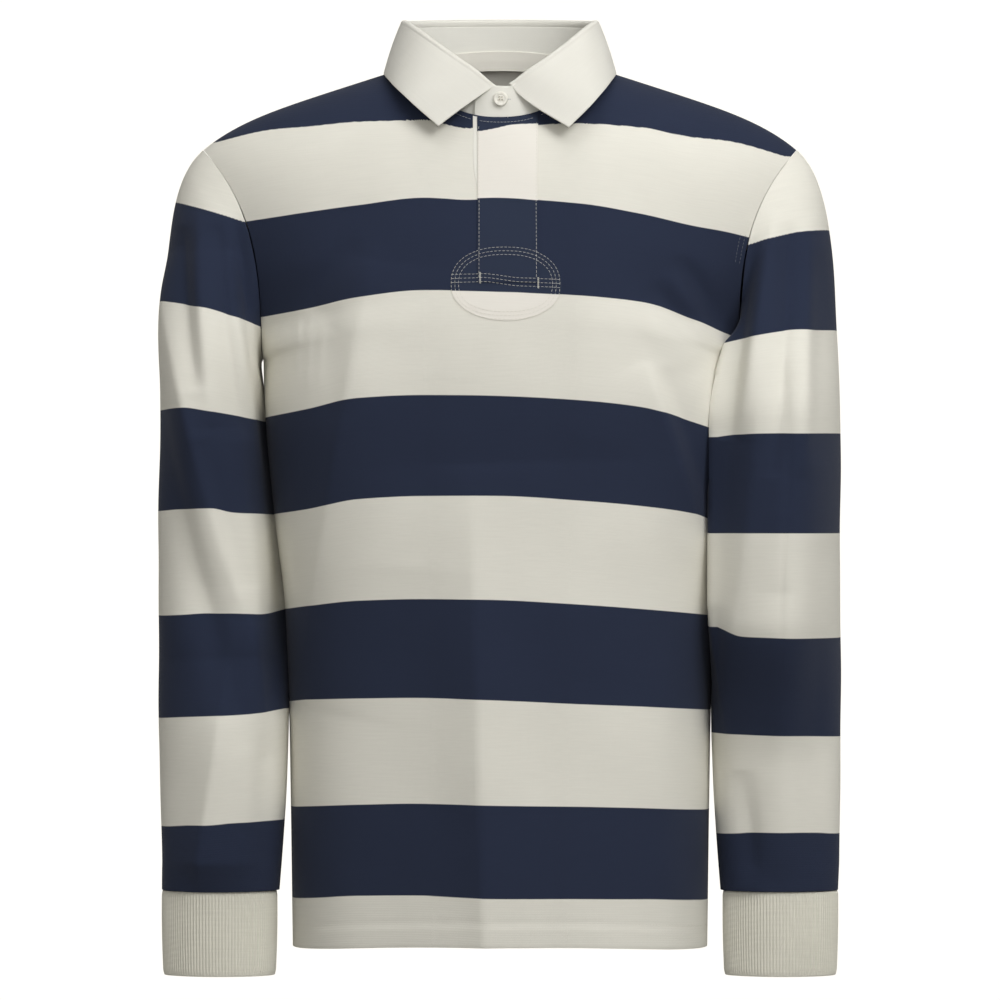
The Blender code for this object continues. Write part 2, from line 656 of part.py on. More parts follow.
def between(keys, at):
    """For places among sorted keys: the index of the key before each, and the share of the way on."""
    i = np.clip(np.searchsorted(keys, at, side="right") - 1, 0, len(keys) - 2)
    return i, (at - keys[i]) / (keys[i + 1] - keys[i])


def add_facing():
    """A half-moon on the inner face of the back. It is read from that panel's own facets, moved in."""
    across_keys, level_keys, panel = body_grid(1, *BACK_ROWS)
    sideways = np.linspace(-1, 1, 13)[None, :]
    reach = FACING_DROP * (1 - np.abs(sideways) ** 2.4) + 0.12
    level = FACING_TOP + np.linspace(0, 1, 6)[:, None] * reach
    column, right = between(across_keys, sideways * FACING_HALF / SHOULDER_HALF + 0 * level)
    row, down = between(level_keys, level)
    right, down = right[..., None], down[..., None]
    upper = panel[row, column] * (1 - right) + panel[row, column + 1] * right
    lower = panel[row + 1, column] * (1 - right) + panel[row + 1, column + 1] * right
    here = upper + (lower - upper) * down
    side_step = panel[row, column + 1] - panel[row, column]
    inwards = unit(np.cross(side_step, lower - upper))
    inwards = inwards * np.where(inwards[..., 1:2] > 0, -1, 1)
    grid = here + inwards * (FACING_REST + FACING_WALL)
    cloth("neck_facing", grid[:, ::-1], FACING_WALL, CREAM)


def add_button():
    """A turned disc with four holes, flat on the buttoned end of the stand."""
    where = np.array((math.asin(-BUTTON_X / STAND_TOP_HALF), ))
    here = stand(where, np.array((BUTTON_TURN,)), np.array((STAND_OVERLAP,)))[0]
    right = stand(where - 0.02, np.array((BUTTON_TURN,)), np.array((STAND_OVERLAP,)))[0] - here
    above = stand(where, np.array((BUTTON_TURN + 0.1,)), np.array((STAND_OVERLAP,)))[0] - here
    out = unit(np.cross(above, right) * -1)
    out = out if out[1] < 0 else -out
    body_mesh = bmesh.new()
    bmesh.ops.create_cone(
        body_mesh, cap_ends=True, segments=28, radius1=BUTTON_RADIUS * MM, radius2=BUTTON_RADIUS * MM,
        depth=BUTTON_THICK * MM,
    )
    mesh = bpy.data.meshes.new("button")
    body_mesh.to_mesh(mesh)
    body_mesh.free()
    button = add_object("button", mesh, SHELL, 0.35)
    round_edge = button.modifiers.new("round_edge", "BEVEL")
    round_edge.width = 0.5 * MM
    round_edge.segments = 2
    round_edge.limit_method = "ANGLE"
    for i in range(4):
        hole_mesh = bmesh.new()
        bmesh.ops.create_cone(
            hole_mesh, cap_ends=True, segments=8, radius1=BUTTON_HOLE * MM, radius2=BUTTON_HOLE * MM,
            depth=3 * BUTTON_THICK * MM,
        )
        at = math.radians(45 + 90 * i)
        shift = BUTTON_HOLE_STEP * MM
        bmesh.ops.translate(hole_mesh, verts=hole_mesh.verts, vec=(shift * math.cos(at), shift * math.sin(at), 0))
        cutter_mesh = bpy.data.meshes.new(f"hole_{i}")
        hole_mesh.to_mesh(cutter_mesh)
        hole_mesh.free()
        cutter = bpy.data.objects.new(f"hole_{i}", cutter_mesh)
        bpy.data.collections["cutters"].objects.link(cutter)
        cutter.hide_render = True
        cutter.display_type = "WIRE"
        cutter.parent = button
        cut = button.modifiers.new(f"hole_{i}", "BOOLEAN")
        cut.object = cutter
    lift = TWILL + REST + BUTTON_THICK / 2 + 0.35
    button.location = (here + out * lift) * MM
    tilt = math.atan2(out[2], -out[1])
    button.rotation_euler = (math.pi / 2 - tilt, 0, 0)


def main():
    for old in list(bpy.data.objects):
        bpy.data.objects.remove(old, do_unlink=True)
    for name in ("polo_shirt", "cutters"):
        bpy.context.scene.collection.children.link(bpy.data.collections.new(name))
    add_front()
    add_back()
    add_sleeve("sleeve_left", -1)
    add_sleeve("sleeve_right", 1)
    add_cuff("cuff_left", -1)
    add_cuff("cuff_right", 1)
    add_stand()
    add_leaf()
    add_placket()
    add_tape()
    add_facing()
    add_button()


main()
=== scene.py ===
import math

import bpy
import numpy as np
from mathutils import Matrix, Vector


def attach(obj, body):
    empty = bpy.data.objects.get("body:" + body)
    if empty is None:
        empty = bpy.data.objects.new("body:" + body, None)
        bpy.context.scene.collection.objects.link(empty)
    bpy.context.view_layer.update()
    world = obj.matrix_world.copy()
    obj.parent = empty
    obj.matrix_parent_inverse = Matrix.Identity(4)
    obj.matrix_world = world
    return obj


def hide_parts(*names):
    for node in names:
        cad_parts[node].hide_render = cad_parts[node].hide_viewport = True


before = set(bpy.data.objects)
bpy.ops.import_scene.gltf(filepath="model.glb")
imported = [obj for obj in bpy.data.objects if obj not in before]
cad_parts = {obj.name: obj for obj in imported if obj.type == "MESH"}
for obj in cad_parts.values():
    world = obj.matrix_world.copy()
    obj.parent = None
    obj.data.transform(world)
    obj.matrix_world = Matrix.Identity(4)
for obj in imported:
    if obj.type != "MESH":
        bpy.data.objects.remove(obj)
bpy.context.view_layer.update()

# A long-sleeved striped polo shirt of the rugby kind, filled out and hollow, as it looks when worn.
# +Z is up, the front faces -Y and +X is the wearer's left. Sizes are in millimetres unless a line says
# metres. Left and right are as seen from the front.


# ---------------------------------------------------------------- camera
# A long lens, level with the middle of the shirt and square to its front. A pixel of a picture 1000 pixels
# wide is 0.8 mm at the plane of the shoulder seams.

MM = 0.001
PIXEL = 0.8
PICTURE_WIDTH = 1000 * PIXEL
SENSOR = 36.0
CAMERA_AWAY = 4500.0
CAMERA_Z = -347.2

lens = bpy.data.cameras.new("camera")
lens.sensor_width = SENSOR
lens.lens = SENSOR * CAMERA_AWAY / PICTURE_WIDTH
camera = bpy.data.objects.new("camera", lens)
camera.location = (0, -CAMERA_AWAY * MM, CAMERA_Z * MM)
camera.rotation_euler = (math.pi / 2, 0, 0)
bpy.context.scene.collection.objects.link(camera)
bpy.context.scene.camera = camera


# ---------------------------------------------------------------- studio
# A pale world that is white towards the horizon behind the shirt, a large soft lamp high on the right with
# a weaker one above and one in front, and a plain pale floor far below the hem. The floor glows a little, so
# that it is pale from every side and runs into the white of the horizon, but it throws no light up.

WARM_LIGHT = (1.0, 0.977, 0.925, 1.0)
HORIZON_LIGHT = 1.085
SIDE_LIGHT = 0.66  # the horizon in front of the shirt and beside it
BEHIND = (0.3, 0.9)  # how far towards the back the horizon turns from the one to the other
SKY_LIGHT = 0.20
HORIZON_BAND = (0.10, 0.14)  # how far from level the white begins to fade, and ends
FLOOR_Z = -1.40  # metres, as the rest of this section
FLOOR_HALF = 60.0
FLOOR_FADE = (3.0, 6.5)  # between these distances behind the shirt it turns white
FLOOR_GLOW = 0.5  # the least share of the floor that glows
FLOOR_COLOUR = (0.80, 0.80, 0.79, 1.0)

# name, place, size, watts
LAMPS = (
    ("key", (1.60, -2.35, 1.75), 1.9, 65),
    ("top", (-0.10, -0.90, 2.40), 1.8, 27),
    ("front", (-0.40, -4.20, 0.30), 1.4, 25),
)
LAMP_AIM = Vector((0, 0, -0.38))


def node(tree, kind, inputs=(), **settings):
    """Adds a shader node, sets its properties, and fills each input by linking a socket or setting a
    value."""
    made = tree.nodes.new(kind)
    for key, value in settings.items():
        setattr(made, key, value)
    for key, value in dict(inputs).items():
        if isinstance(value, bpy.types.NodeSocket):
            tree.links.new(value, made.inputs[key])
        else:
            made.inputs[key].default_value = value
    return made


def calc(tree, operation, *values):
    """One Math node on sockets or numbers."""
    return node(tree, "ShaderNodeMath", enumerate(values), operation=operation).outputs[0]


def ramp(tree, value, low, high, start=0.0, end=1.0):
    """A soft step of a value from start, at low, to end, at high."""
    made = node(
        tree, "ShaderNodeMapRange",
        {"Value": value, "From Min": low, "From Max": high, "To Min": start, "To Max": end},
        interpolation_type="SMOOTHSTEP",
    )
    return made.outputs["Result"]


world = bpy.data.worlds.new("studio")
world.use_nodes = True
bpy.context.scene.world = world
bpy.context.scene.view_settings.view_transform = "Standard"
sky = world.node_tree
direction = node(sky, "ShaderNodeTexCoord").outputs["Generated"]
towards = node(sky, "ShaderNodeSeparateXYZ", {0: direction}).outputs
height = calc(sky, "ABSOLUTE", towards["Z"])
horizon = ramp(sky, towards["Y"], *BEHIND, SIDE_LIGHT, HORIZON_LIGHT)
brightness = ramp(sky, height, *HORIZON_BAND, horizon, SKY_LIGHT)
sky.links.new(brightness, sky.nodes["Background"].inputs["Strength"])
sky.nodes["Background"].inputs["Color"].default_value = WARM_LIGHT

for name, place, size, watts in LAMPS:
    light = bpy.data.lights.new(name, "AREA")
    light.size = size
    light.energy = watts
    lamp = bpy.data.objects.new(name, light)
    lamp.location = place
    lamp.rotation_euler = (LAMP_AIM - Vector(place)).to_track_quat("-Z", "Y").to_euler()
    bpy.context.scene.collection.objects.link(lamp)

floor_mesh = bpy.data.meshes.new("floor")
floor_mesh.from_pydata(
    [(x * FLOOR_HALF, y * FLOOR_HALF, FLOOR_Z) for x, y in ((-1, -1), (1, -1), (1, 1), (-1, 1))],
    [], [(0, 1, 2, 3)],
)
floor_paint = bpy.data.materials.new("floor")
floor_paint.use_nodes = True
paint = floor_paint.node_tree
on_floor = node(paint, "ShaderNodeTexCoord").outputs["Object"]
away = node(paint, "ShaderNodeSeparateXYZ", {0: on_floor}).outputs["Y"]
matt = paint.nodes["Principled BSDF"]
matt.inputs["Base Color"].default_value = FLOOR_COLOUR
matt.inputs["Roughness"].default_value = 0.9
glow = node(paint, "ShaderNodeEmission", {"Color": WARM_LIGHT, "Strength": HORIZON_LIGHT})
both = node(paint, "ShaderNodeMixShader", {
    0: ramp(paint, away, *FLOOR_FADE, FLOOR_GLOW, 1.0),
    1: matt.outputs[0],
    2: glow.outputs[0],
})
paint.links.new(both.outputs[0], paint.nodes["Material Output"].inputs["Surface"])
floor_mesh.materials.append(floor_paint)
floor = bpy.data.objects.new("floor", floor_mesh)
bpy.context.scene.collection.objects.link(floor)
floor.visible_diffuse = False


# ---------------------------------------------------------------- front
# The front panel: heavy cotton jersey knitted in wide navy and cream stripes, cut with a curved armhole at
# each side and slit down from the neck for the placket. It hangs from the shoulders in long soft folds.

JERSEY = 1.6  # wall of the knitted panels
TWILL = 1.5  # wall of the collar, stand and placket strips
SEAM = 0.3  # gap between two pieces at a seam
REST = 0.3  # gap between a piece and the panel that it lies on
NAVY = (0.0225, 0.0303, 0.0585, 1.0)
CREAM = (0.785, 0.767, 0.69, 1.0)

NECK_HALF = 76.0  # half width of the neck seam
NECK_FRONT = 84.0  # the neck seam reaches this far forward
NECK_BACK = 62.0  # and this far back
NECK_SIDE_Z = -3.2
NECK_DROP = 44.0  # the front of the neck seam lies this far below its sides
NECK_RISE = 12.0  # and the back this far above them
SHOULDER_HALF = 236.0  # half width from shoulder point to shoulder point
NECK_SHARE = NECK_HALF / SHOULDER_HALF
SHOULDER_Z = -68.6
SHOULDER_FULLNESS = 0.32  # how much rounder than a plain curve the cloth leaves the shoulder seam

ARMHOLE_LOW_HALF = 187.6  # the armhole is a tilted loop that leans in below the shoulder point
ARMHOLE_LOW_Z = -235.0
ARMHOLE_DEPTH = 57.0
ARMHOLE_LEAN = 3.2


def columns(names, rows):
    """Turns a table's rows into one array for each named column."""
    return dict(zip(names.split(), np.array(rows, float).T))


# Rows across the body, from the chest to the hem: height at the middle and at the side, depth of the front
# and of the back, half width, and how far the side is rounded.
BODY = columns("z_mid z_side front back half round", (
    (-111, -139, -103, 106, 198, 1.00),
    (-150, -176, -113, 112, 190, 1.04),
    (-184, -209, -120, 115, 188, 1.25),
    (-211, -235, -123, 115, 189, 2.00),
    (-265, -286, -125, 112, 187, 2.60),
    (-345, -362, -122, 106, 180, 2.60),
    (-425, -436, -119, 104, 171.5, 2.60),
    (-503, -510, -118, 107, 168.5, 2.60),
    (-585, -593, -119, 113, 167, 2.60),
    (-657, -666, -120, 117, 166, 2.60),
    (-695, -702, -120, 118, 165.5, 2.60),
))

# The folds of the front, seen from the front: where each starts and ends, how far it bows to the right at
# its middle, its width to the left and right of its line, how far the cloth moves out there, or in, and
# whether it is round or comes to a crest.
FOLD_NAMES = "x0 z0 x1 z1 bow left right depth power"
FRONT_FOLDS = columns(FOLD_NAMES, (
    (-100, -160, -160, -510, -2, 22, 60, 11.0, 1.12),
    (-133, -196, -128, -290, 0, 16, 13, -2.2, 2),
    (-148, -198, -150, -264, 0, 3, 3, 0.8, 2),
    (-157, -196, -159, -258, 0, 3, 3, 0.8, 2),
    (-139, -202, -141, -262, 0, 3, 3, 0.6, 2),
    (-92, -150, -128, -214, -4, 9, 11, 2.0, 2),
    (-112, -142, -150, -200, -4, 9, 9, -2.4, 2),
    (113, -240, 163, -396, 3, 20, 5, 6.4, 1.2),
    (127, -244, 176, -396, 3, 6, 15, -5.6, 1.8),
    (150, -370, 166, -452, 0, 12, 6, 2.4, 2),
    (139, -156, 173, -206, 2, 8, 7, -3.4, 2),
    (128, -168, 166, -222, 2, 7, 6, 3.0, 1.5),
    (118, -178, 158, -230, 2, 8, 7, -2.8, 2),
    (96, -188, 150, -244, 3, 12, 10, 2.2, 2),
    (-23, -320, -3, -1010, 0, 31, 110, 19.0, 1.14),
    (-84, -400, -88, -900, 0, 36, 34, -3.6, 2),
    (66, -480, 70, -900, -4, 26, 20, -2.4, 2),
    (128, -470, 134, -800, 0, 20, 14, 2.2, 2),
    (70, -300, 60, -430, 0, 34, 34, -1.6, 2),
    (-50, -250, -62, -400, 0, 34, 34, -1.4, 2),
))

# Stripe edges on the body: their heights at these places across it, from the first edge below the collar
STRIPE_PLACES = np.array((-225, -180, -150, -110, -60, -25, 0, 60, 110, 150, 180, 225), float)
BODY_STRIPES = np.array((
    (-63.2, -55.0, -53.3, -50.3, -49.9, -56.4, -55.4, -52.4, -55.0, -62.0, -64.5, -74.8),
    (-130.0, -124.8, -121.0, -116.2, -111.0, -112.8, -111.6, -115.4, -123.2, -131.6, -136.3, -147.0),
    (-207.0, -200.9, -196.6, -188.8, -184.0, -184.4, -185.2, -187.9, -192.7, -204.8, -216.4, -226.0),
    (-286.0, -280.9, -275.9, -267.7, -265.5, -265.7, -266.3, -269.4, -274.7, -285.7, -294.8, -301.0),
    (-363.0, -358.4, -354.3, -346.4, -344.1, -344.0, -344.1, -347.6, -351.9, -357.4, -368.8, -375.0),
    (-439.0, -435.2, -430.4, -425.7, -424.3, -424.6, -425.1, -428.6, -432.4, -436.3, -440.0, -444.0),
    (-513.0, -509.6, -504.2, -502.3, -501.4, -502.1, -503.0, -506.1, -508.6, -511.7, -515.2, -519.0),
    (-596.0, -592.8, -588.6, -585.6, -584.0, -584.2, -584.7, -586.0, -587.9, -591.0, -594.8, -598.0),
    (-669.0, -665.6, -660.4, -656.3, -655.3, -655.7, -656.3, -657.2, -658.6, -662.0, -666.4, -670.0),
))
DIP_PLACE = -25  # beside the placket the stripes dip, on the front alone
STRIPE_PITCH = 79.0  # the usual depth of a stripe
STRIPE_RUN = 150.0  # the depth that a stripe cut off by a seam would have
STRIPE_SOFT = 0.012  # how sharp a stripe's edge is
HEM = 19.0  # the hem is turned up this far
HEM_STEP = 0.5  # and stands this far proud
HEM_DENT = 0.7  # its stitching draws the cloth in this far

SLIT_HALF = 0.4  # the slit for the placket
SLIT_X = 6.0
SLIT_FOOT = -164.0


def hermite(t, start, start_slope, end, end_slope):
    """The cubic that leaves start and reaches end with the two slopes given."""
    return (
        (1 + 2 * t) * (1 - t) ** 2 * start
        + t * (1 - t) ** 2 * start_slope
        + t * t * (3 - 2 * t) * end
        + t * t * (t - 1) * end_slope
    )


def smooth(at, keys, values):
    """A curve through a table's values: cubic pieces whose slopes never overshoot."""
    keys, values = (keys, values) if keys[0] < keys[-1] else (keys[::-1], values[::-1])
    step = np.diff(keys)
    rate = np.diff(values) / step
    same_way = rate[:-1] * rate[1:] > 0
    safe = np.where(same_way, rate[:-1] + rate[1:], 1.0)
    inner = np.where(same_way, 2 * rate[:-1] * rate[1:] / safe, 0.0)
    slope = np.concatenate((rate[:1], inner, rate[-1:]))
    at = np.clip(at, keys[0], keys[-1])
    i = np.clip(np.searchsorted(keys, at, side="right") - 1, 0, len(step) - 1)
    t = (at - keys[i]) / step[i]
    return hermite(t, values[i], slope[i] * step[i], values[i + 1], slope[i + 1] * step[i])


def points(x, y, z):
    """Joins x, y and z, single values or arrays, into points."""
    return np.stack(np.broadcast_arrays(x, y, z), axis=-1)


def unit(vectors):
    """Each vector divided by its length."""
    return vectors / np.linalg.norm(vectors, axis=-1, keepdims=True)


def soft_step(value, low, high):
    """0 below low and 1 above high, with a cubic between."""
    t = np.clip((value - low) / (high - low), 0, 1)
    return t * t * (3 - 2 * t)


def folds(table, across, height):
    """The sum of all folds. Each is a bell beside a line that bows by a parabola: the bell has a width of
    its own on either side, and fades out at the fold's two ends. At a power of 2 it is round, and near 1
    it comes to a crest."""
    moved = np.zeros(np.broadcast(across, height).shape)
    for x0, z0, x1, z1, bow, left, right, depth, power in zip(*table.values()):
        length = math.hypot(x1 - x0, z1 - z0)
        along = ((across - x0) * (x1 - x0) + (height - z0) * (z1 - z0)) / length**2
        beside = ((height - z0) * (x1 - x0) - (across - x0) * (z1 - z0)) / length
        arch = np.clip(4 * along * (1 - along), 0, 1)
        beside = beside - bow * arch
        width = np.where(beside < 0, left, right)
        moved += depth * arch**0.7 * np.exp(-(np.abs(beside / width) ** power))
    return moved


def wander(across, height):
    """The slight unevenness of hanging cloth: four long waves that cross each other."""
    return (
        0.34 * np.sin(across / 19 + height / 47 + 0.6)
        + 0.30 * np.sin(across / 31 - height / 26 + 2.1)
        + 0.22 * np.sin(across / 11 + height / 71 + 4.0)
        + 0.16 * np.sin(across / 23 + height / 13 + 1.2)
    )


def armhole(turn):
    """The armhole loop on one side, at a turn in radians from the shoulder point: z and y follow an
    ellipse, and x falls from the shoulder point to the armpit by a power of the height."""
    rise = (1 + np.cos(turn)) / 2
    x = ARMHOLE_LOW_HALF + (SHOULDER_HALF - ARMHOLE_LOW_HALF) * rise**ARMHOLE_LEAN
    z = ARMHOLE_LOW_Z + (SHOULDER_Z - ARMHOLE_LOW_Z) * rise
    return x, ARMHOLE_DEPTH * np.sin(turn), z


def armhole_turn(z):
    """The turn at which the armhole passes a height."""
    rise = (z - ARMHOLE_LOW_Z) / (SHOULDER_Z - ARMHOLE_LOW_Z)
    return np.arccos(np.clip(2 * rise - 1, -1, 1))


def neck(turn, inset=0.0):
    """The neck seam at a turn in radians from the middle of the front: half an ellipse before the
    shoulders and a flatter half behind them. It falls in front by a power of the distance from the
    middle, and rises behind."""
    cos = np.cos(turn)
    behind = np.clip(-cos, 0, 1)
    x = (NECK_HALF - inset) * np.sin(turn)
    y = (NECK_BACK - inset) * behind**0.9 - (NECK_FRONT - inset) * np.clip(cos, 0, 1)
    fall = np.where(cos > 0, 1 - np.abs(np.sin(turn)) ** 2.3, 0)
    return points(x, y, NECK_SIDE_Z - NECK_DROP * fall + NECK_RISE * behind**1.8)


def body_top(side, across):
    """The upper edge of a panel: shoulder seam, neck seam, shoulder seam. Across runs from -1 to 1."""
    out = np.abs(across)
    turn = np.arcsin(np.clip(out / NECK_SHARE, 0, 1))
    turn = np.where(side < 0, turn, math.pi - turn)
    at_neck = neck(turn * np.sign(across + 1e-12))
    fall = np.clip((out - NECK_SHARE) / (1 - NECK_SHARE), 0, 1)
    shoulder = points(
        SHOULDER_HALF * across,
        side * SEAM / 2,
        NECK_SIDE_Z + (SHOULDER_Z - NECK_SIDE_Z) * (0.785 * fall + 0.215 * fall**6),
    )
    return np.where((out < NECK_SHARE)[..., None], at_neck, shoulder)


def body_row(side, across, level):
    """A row across a panel at a level from 1, at the chest, to 2, at the hem: a rounded box from the
    middle to the side edge, drawn down towards the sides. That edge is the armhole or, below the armpit,
    the side seam, and the cloth near it turns from the one line to the other by a power of its place."""
    z_mid = BODY["z_mid"][0] + (level - 1) * (BODY["z_mid"][-1] - BODY["z_mid"][0])
    z_side = smooth(z_mid, BODY["z_mid"], BODY["z_side"])
    depth = side * (np.abs(smooth(z_mid, BODY["z_mid"], BODY["front" if side < 0 else "back"])) - JERSEY)
    above_armpit = z_side > ARMHOLE_LOW_Z
    edge_x, edge_y, _ = armhole(armhole_turn(z_side))
    edge_x = np.where(above_armpit, edge_x, smooth(z_mid, BODY["z_mid"], BODY["half"]) - JERSEY)
    rounding = smooth(z_mid, BODY["z_mid"], BODY["round"])
    out = np.clip(np.abs(across), 0, 1)
    near_edge = ARMHOLE_DEPTH * soft_step(z_side, -258, -165)
    edge_y = near_edge + (np.where(above_armpit, edge_y, 0) - near_edge) * out**8
    edge_y = side * (edge_y + SEAM / 2)
    crown = np.clip(1 - out**2.6, 0, 1) ** (1 / rounding)
    return points(
        edge_x * across,
        edge_y + (depth - edge_y) * crown,
        z_mid + (z_side - z_mid) * out**2.2,
    )


def shoulder_patch(side, across, s):
    """The upper part of a panel, a cubic from the neck and shoulder seam (s = 0) to the chest (s = 1)."""
    across = across + 0 * s
    top = body_top(side, across)
    chest = body_row(side, across, 1.0 + 0 * s)
    down = unit(body_row(side, across, 1.002 + 0 * s) - chest)
    reach = np.linalg.norm(chest - top, axis=-1, keepdims=True)
    nearness = np.clip(1 - (across[..., None] * SHOULDER_HALF / NECK_HALF) ** 2, 0, 1) ** 0.8
    from_shoulder = np.array((0, side * 0.99, -0.1))
    from_neck = np.array((0, -0.36, -0.93)) if side < 0 else np.array((0, 0.45, -0.89))
    leaving = from_shoulder + nearness * (from_neck - from_shoulder)
    reach = reach * (1 + SHOULDER_FULLNESS * (1 - nearness))
    return hermite(s[..., None], top, leaving * reach, chest, down * reach)


def body(side, across, level, table):
    """The inner face of the front (side -1) or back (side 1) panel. Levels 0 to 1 run from the neck and
    shoulder seam to the chest, where the side edges are bent onto the armhole, and levels 1 to 2 run
    from there to the hem. Folds, unevenness and the turned hem move it in or out, least at its edges."""
    across, level = np.broadcast_arrays(np.asarray(across, float), np.asarray(level, float))
    s = np.clip(level, 0, 1)
    high = shoulder_patch(side, across, s)
    x, y, z = armhole(armhole_turn(BODY["z_side"][0]) * s)
    miss = points(x, side * (y + SEAM / 2), z) - shoulder_patch(side, 1.0 + 0 * s, s)
    miss = miss * points(np.where(across < 0, -1, 1), 1, 1)
    high = high + np.abs(across[..., None]) ** 6 * miss
    low = body_row(side, across, np.maximum(level, 1.0))
    surface = np.where((level < 1)[..., None], high, low)
    hold = 1 - np.abs(across) ** 10
    moved = folds(table, surface[..., 0], surface[..., 2]) * hold
    moved += wander(surface[..., 0], surface[..., 2]) * hold * soft_step(level, 0.25, 1.1)
    above_hem = (2 - level) * (BODY["z_mid"][0] - BODY["z_mid"][-1])
    moved += HEM_STEP * (1 - soft_step(above_hem, HEM - 1.5, HEM + 1.5)) * hold
    moved -= HEM_DENT * np.exp(-(((above_hem - HEM) / 1.6) ** 2)) * hold
    return surface + points(0 * moved, side * moved, 0 * moved)


def stripe_count(places, edges, first, x, z):
    """How many stripe edges lie above a point, with the share of the way to the next one. The first edge
    counts as given, and the height of each edge is a curve over its places."""
    heights = [smooth(x, places, row) for row in edges]
    count = first - np.maximum(z - heights[0], 0) / STRIPE_RUN
    for upper, lower in zip(heights[:-1], heights[1:]):
        count = count + np.clip((upper - z) / (upper - lower), 0, 1)
    return count + np.maximum(heights[-1] - z, 0) / STRIPE_RUN


def lengths(grid):
    """How far each column and each row of a grid lies from the first, along the cloth."""
    right = np.linalg.norm(np.diff(grid, axis=1), axis=-1).max(axis=0)
    down = np.linalg.norm(np.diff(grid, axis=0), axis=-1).mean(axis=1)
    return np.concatenate(((0,), np.cumsum(right))), np.concatenate(((0,), np.cumsum(down)))


def woven(name, grid, stripe=None, leave_out=None):
    """A mesh of a grid of points in millimetres, one face between each four. The rows run down and the
    columns to the right, seen from outside. A last row or column that lies on the first is one with it.
    The UV map follows the cloth in metres: along the rows, and down them or down the stripes."""
    rows, across = grid.shape[:2]
    home = np.arange(rows * across).reshape(rows, across)
    corners = np.stack((home[:-1, :-1], home[1:, :-1], home[1:, 1:], home[:-1, 1:]), axis=-1)
    corners = corners[~leave_out] if leave_out is not None else corners.reshape(-1, 4)
    if np.allclose(grid[0], grid[-1], atol=1e-4):
        home[-1] = home[0]
    if np.allclose(grid[:, 0], grid[:, -1], atol=1e-4):
        home[:, -1] = home[:, 0]
    kept, faces = np.unique(home.ravel()[corners], return_inverse=True)
    mesh = bpy.data.meshes.new(name)
    mesh.from_pydata((grid.reshape(-1, 3)[kept] * MM).tolist(), [], faces.reshape(-1, 4).tolist())
    u, v = np.broadcast_arrays(*np.ix_(*lengths(grid)))
    u, v = u.T, v.T
    v = stripe * STRIPE_PITCH if stripe is not None else v
    uv = np.stack((u.ravel()[corners.ravel()], v.ravel()[corners.ravel()]), axis=-1) * MM
    mesh.uv_layers.new(name="cloth").data.foreach_set("uv", uv.astype(np.float32).ravel())
    if stripe is not None:
        count = mesh.attributes.new("stripe", "FLOAT", "POINT")
        count.data.foreach_set("value", stripe.ravel()[kept].astype(np.float32))
    mesh.shade_smooth()
    return mesh


ROUND_EDGE = 0.25  # the cut and turned edges are rounded this far


def add_cloth(name, mesh, material, wall, *nodes):
    """Puts a mesh in the scene as a piece of cloth that stands for the nodes given: Solidify adds the wall
    outside it, and Bevel rounds its edges."""
    mesh.materials.append(material)
    made = bpy.data.objects.new(name, mesh)
    bpy.context.scene.collection.objects.link(made)
    if wall:
        solid = made.modifiers.new("wall", "SOLIDIFY")
        solid.thickness = wall * MM
        solid.offset = 1.0
        solid.use_even_offset = False
        bevel = made.modifiers.new("round_edge", "BEVEL")
        bevel.width = ROUND_EDGE * MM
        bevel.segments = 2
        bevel.limit_method = "ANGLE"
        bevel.angle_limit = math.radians(55)
    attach(made, "root")
    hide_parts(*nodes)
    return made


def fabric(name, roughness, sheen):
    """A material for cloth, with its matt shader and its tree. A soft nap is the shader's own sheen."""
    made = bpy.data.materials.new(name)
    made.use_nodes = True
    shader = made.node_tree.nodes["Principled BSDF"]
    shader.inputs["Roughness"].default_value = roughness
    shader.inputs["Specular IOR Level"].default_value = 0.12
    shader.inputs["Sheen Weight"].default_value = sheen
    shader.inputs["Sheen Roughness"].default_value = 0.45
    return made, shader, made.node_tree


def uneven(tree, colour, along, amount):
    """Yarn that varies: a colour made a little lighter and darker by soft patches and by fine streaks
    that run with the rows."""
    place = node(tree, "ShaderNodeTexCoord").outputs["Object"]
    patches = node(tree, "ShaderNodeTexNoise", {"Vector": place, "Scale": 17.0, "Detail": 3.0}).outputs["Fac"]
    stretched = node(tree, "ShaderNodeMapping", {"Vector": along, "Scale": (26.0, 900.0, 1.0)}).outputs[0]
    fine = node(tree, "ShaderNodeTexNoise", {"Vector": stretched, "Scale": 1.0, "Detail": 2.0})
    total = calc(tree, "ADD", calc(tree, "MULTIPLY", patches, 0.8), fine.outputs["Fac"])
    value = ramp(tree, total, 0.45, 1.35, 1 - amount, 1 + amount)
    return node(tree, "ShaderNodeHueSaturation", {"Value": value, "Color": colour}).outputs[0]


def emboss(tree, shader, height, distance, strength):
    """Puts a height, from 0 to 1, on a shader as bump of so many metres."""
    bump = node(tree, "ShaderNodeBump", {"Height": height, "Distance": distance, "Strength": strength})
    tree.links.new(bump.outputs[0], shader.inputs["Normal"])


def two_tone(tree, navy, cream):
    """Navy where the count of stripe edges is even, and cream where it is odd, told apart by the sign of
    a sine of the count."""
    count = node(tree, "ShaderNodeAttribute", attribute_name="stripe").outputs["Fac"]
    wave = calc(tree, "SINE", calc(tree, "MULTIPLY", count, math.pi))
    mixed = node(
        tree, "ShaderNodeMix", {0: ramp(tree, wave, -STRIPE_SOFT, STRIPE_SOFT), 6: cream, 7: navy},
        data_type="RGBA",
    )
    return mixed.outputs[2]


KNIT_COLUMN = 1.25  # from one column of loops to the next
KNIT_ROW = 0.95  # and from one row to the next


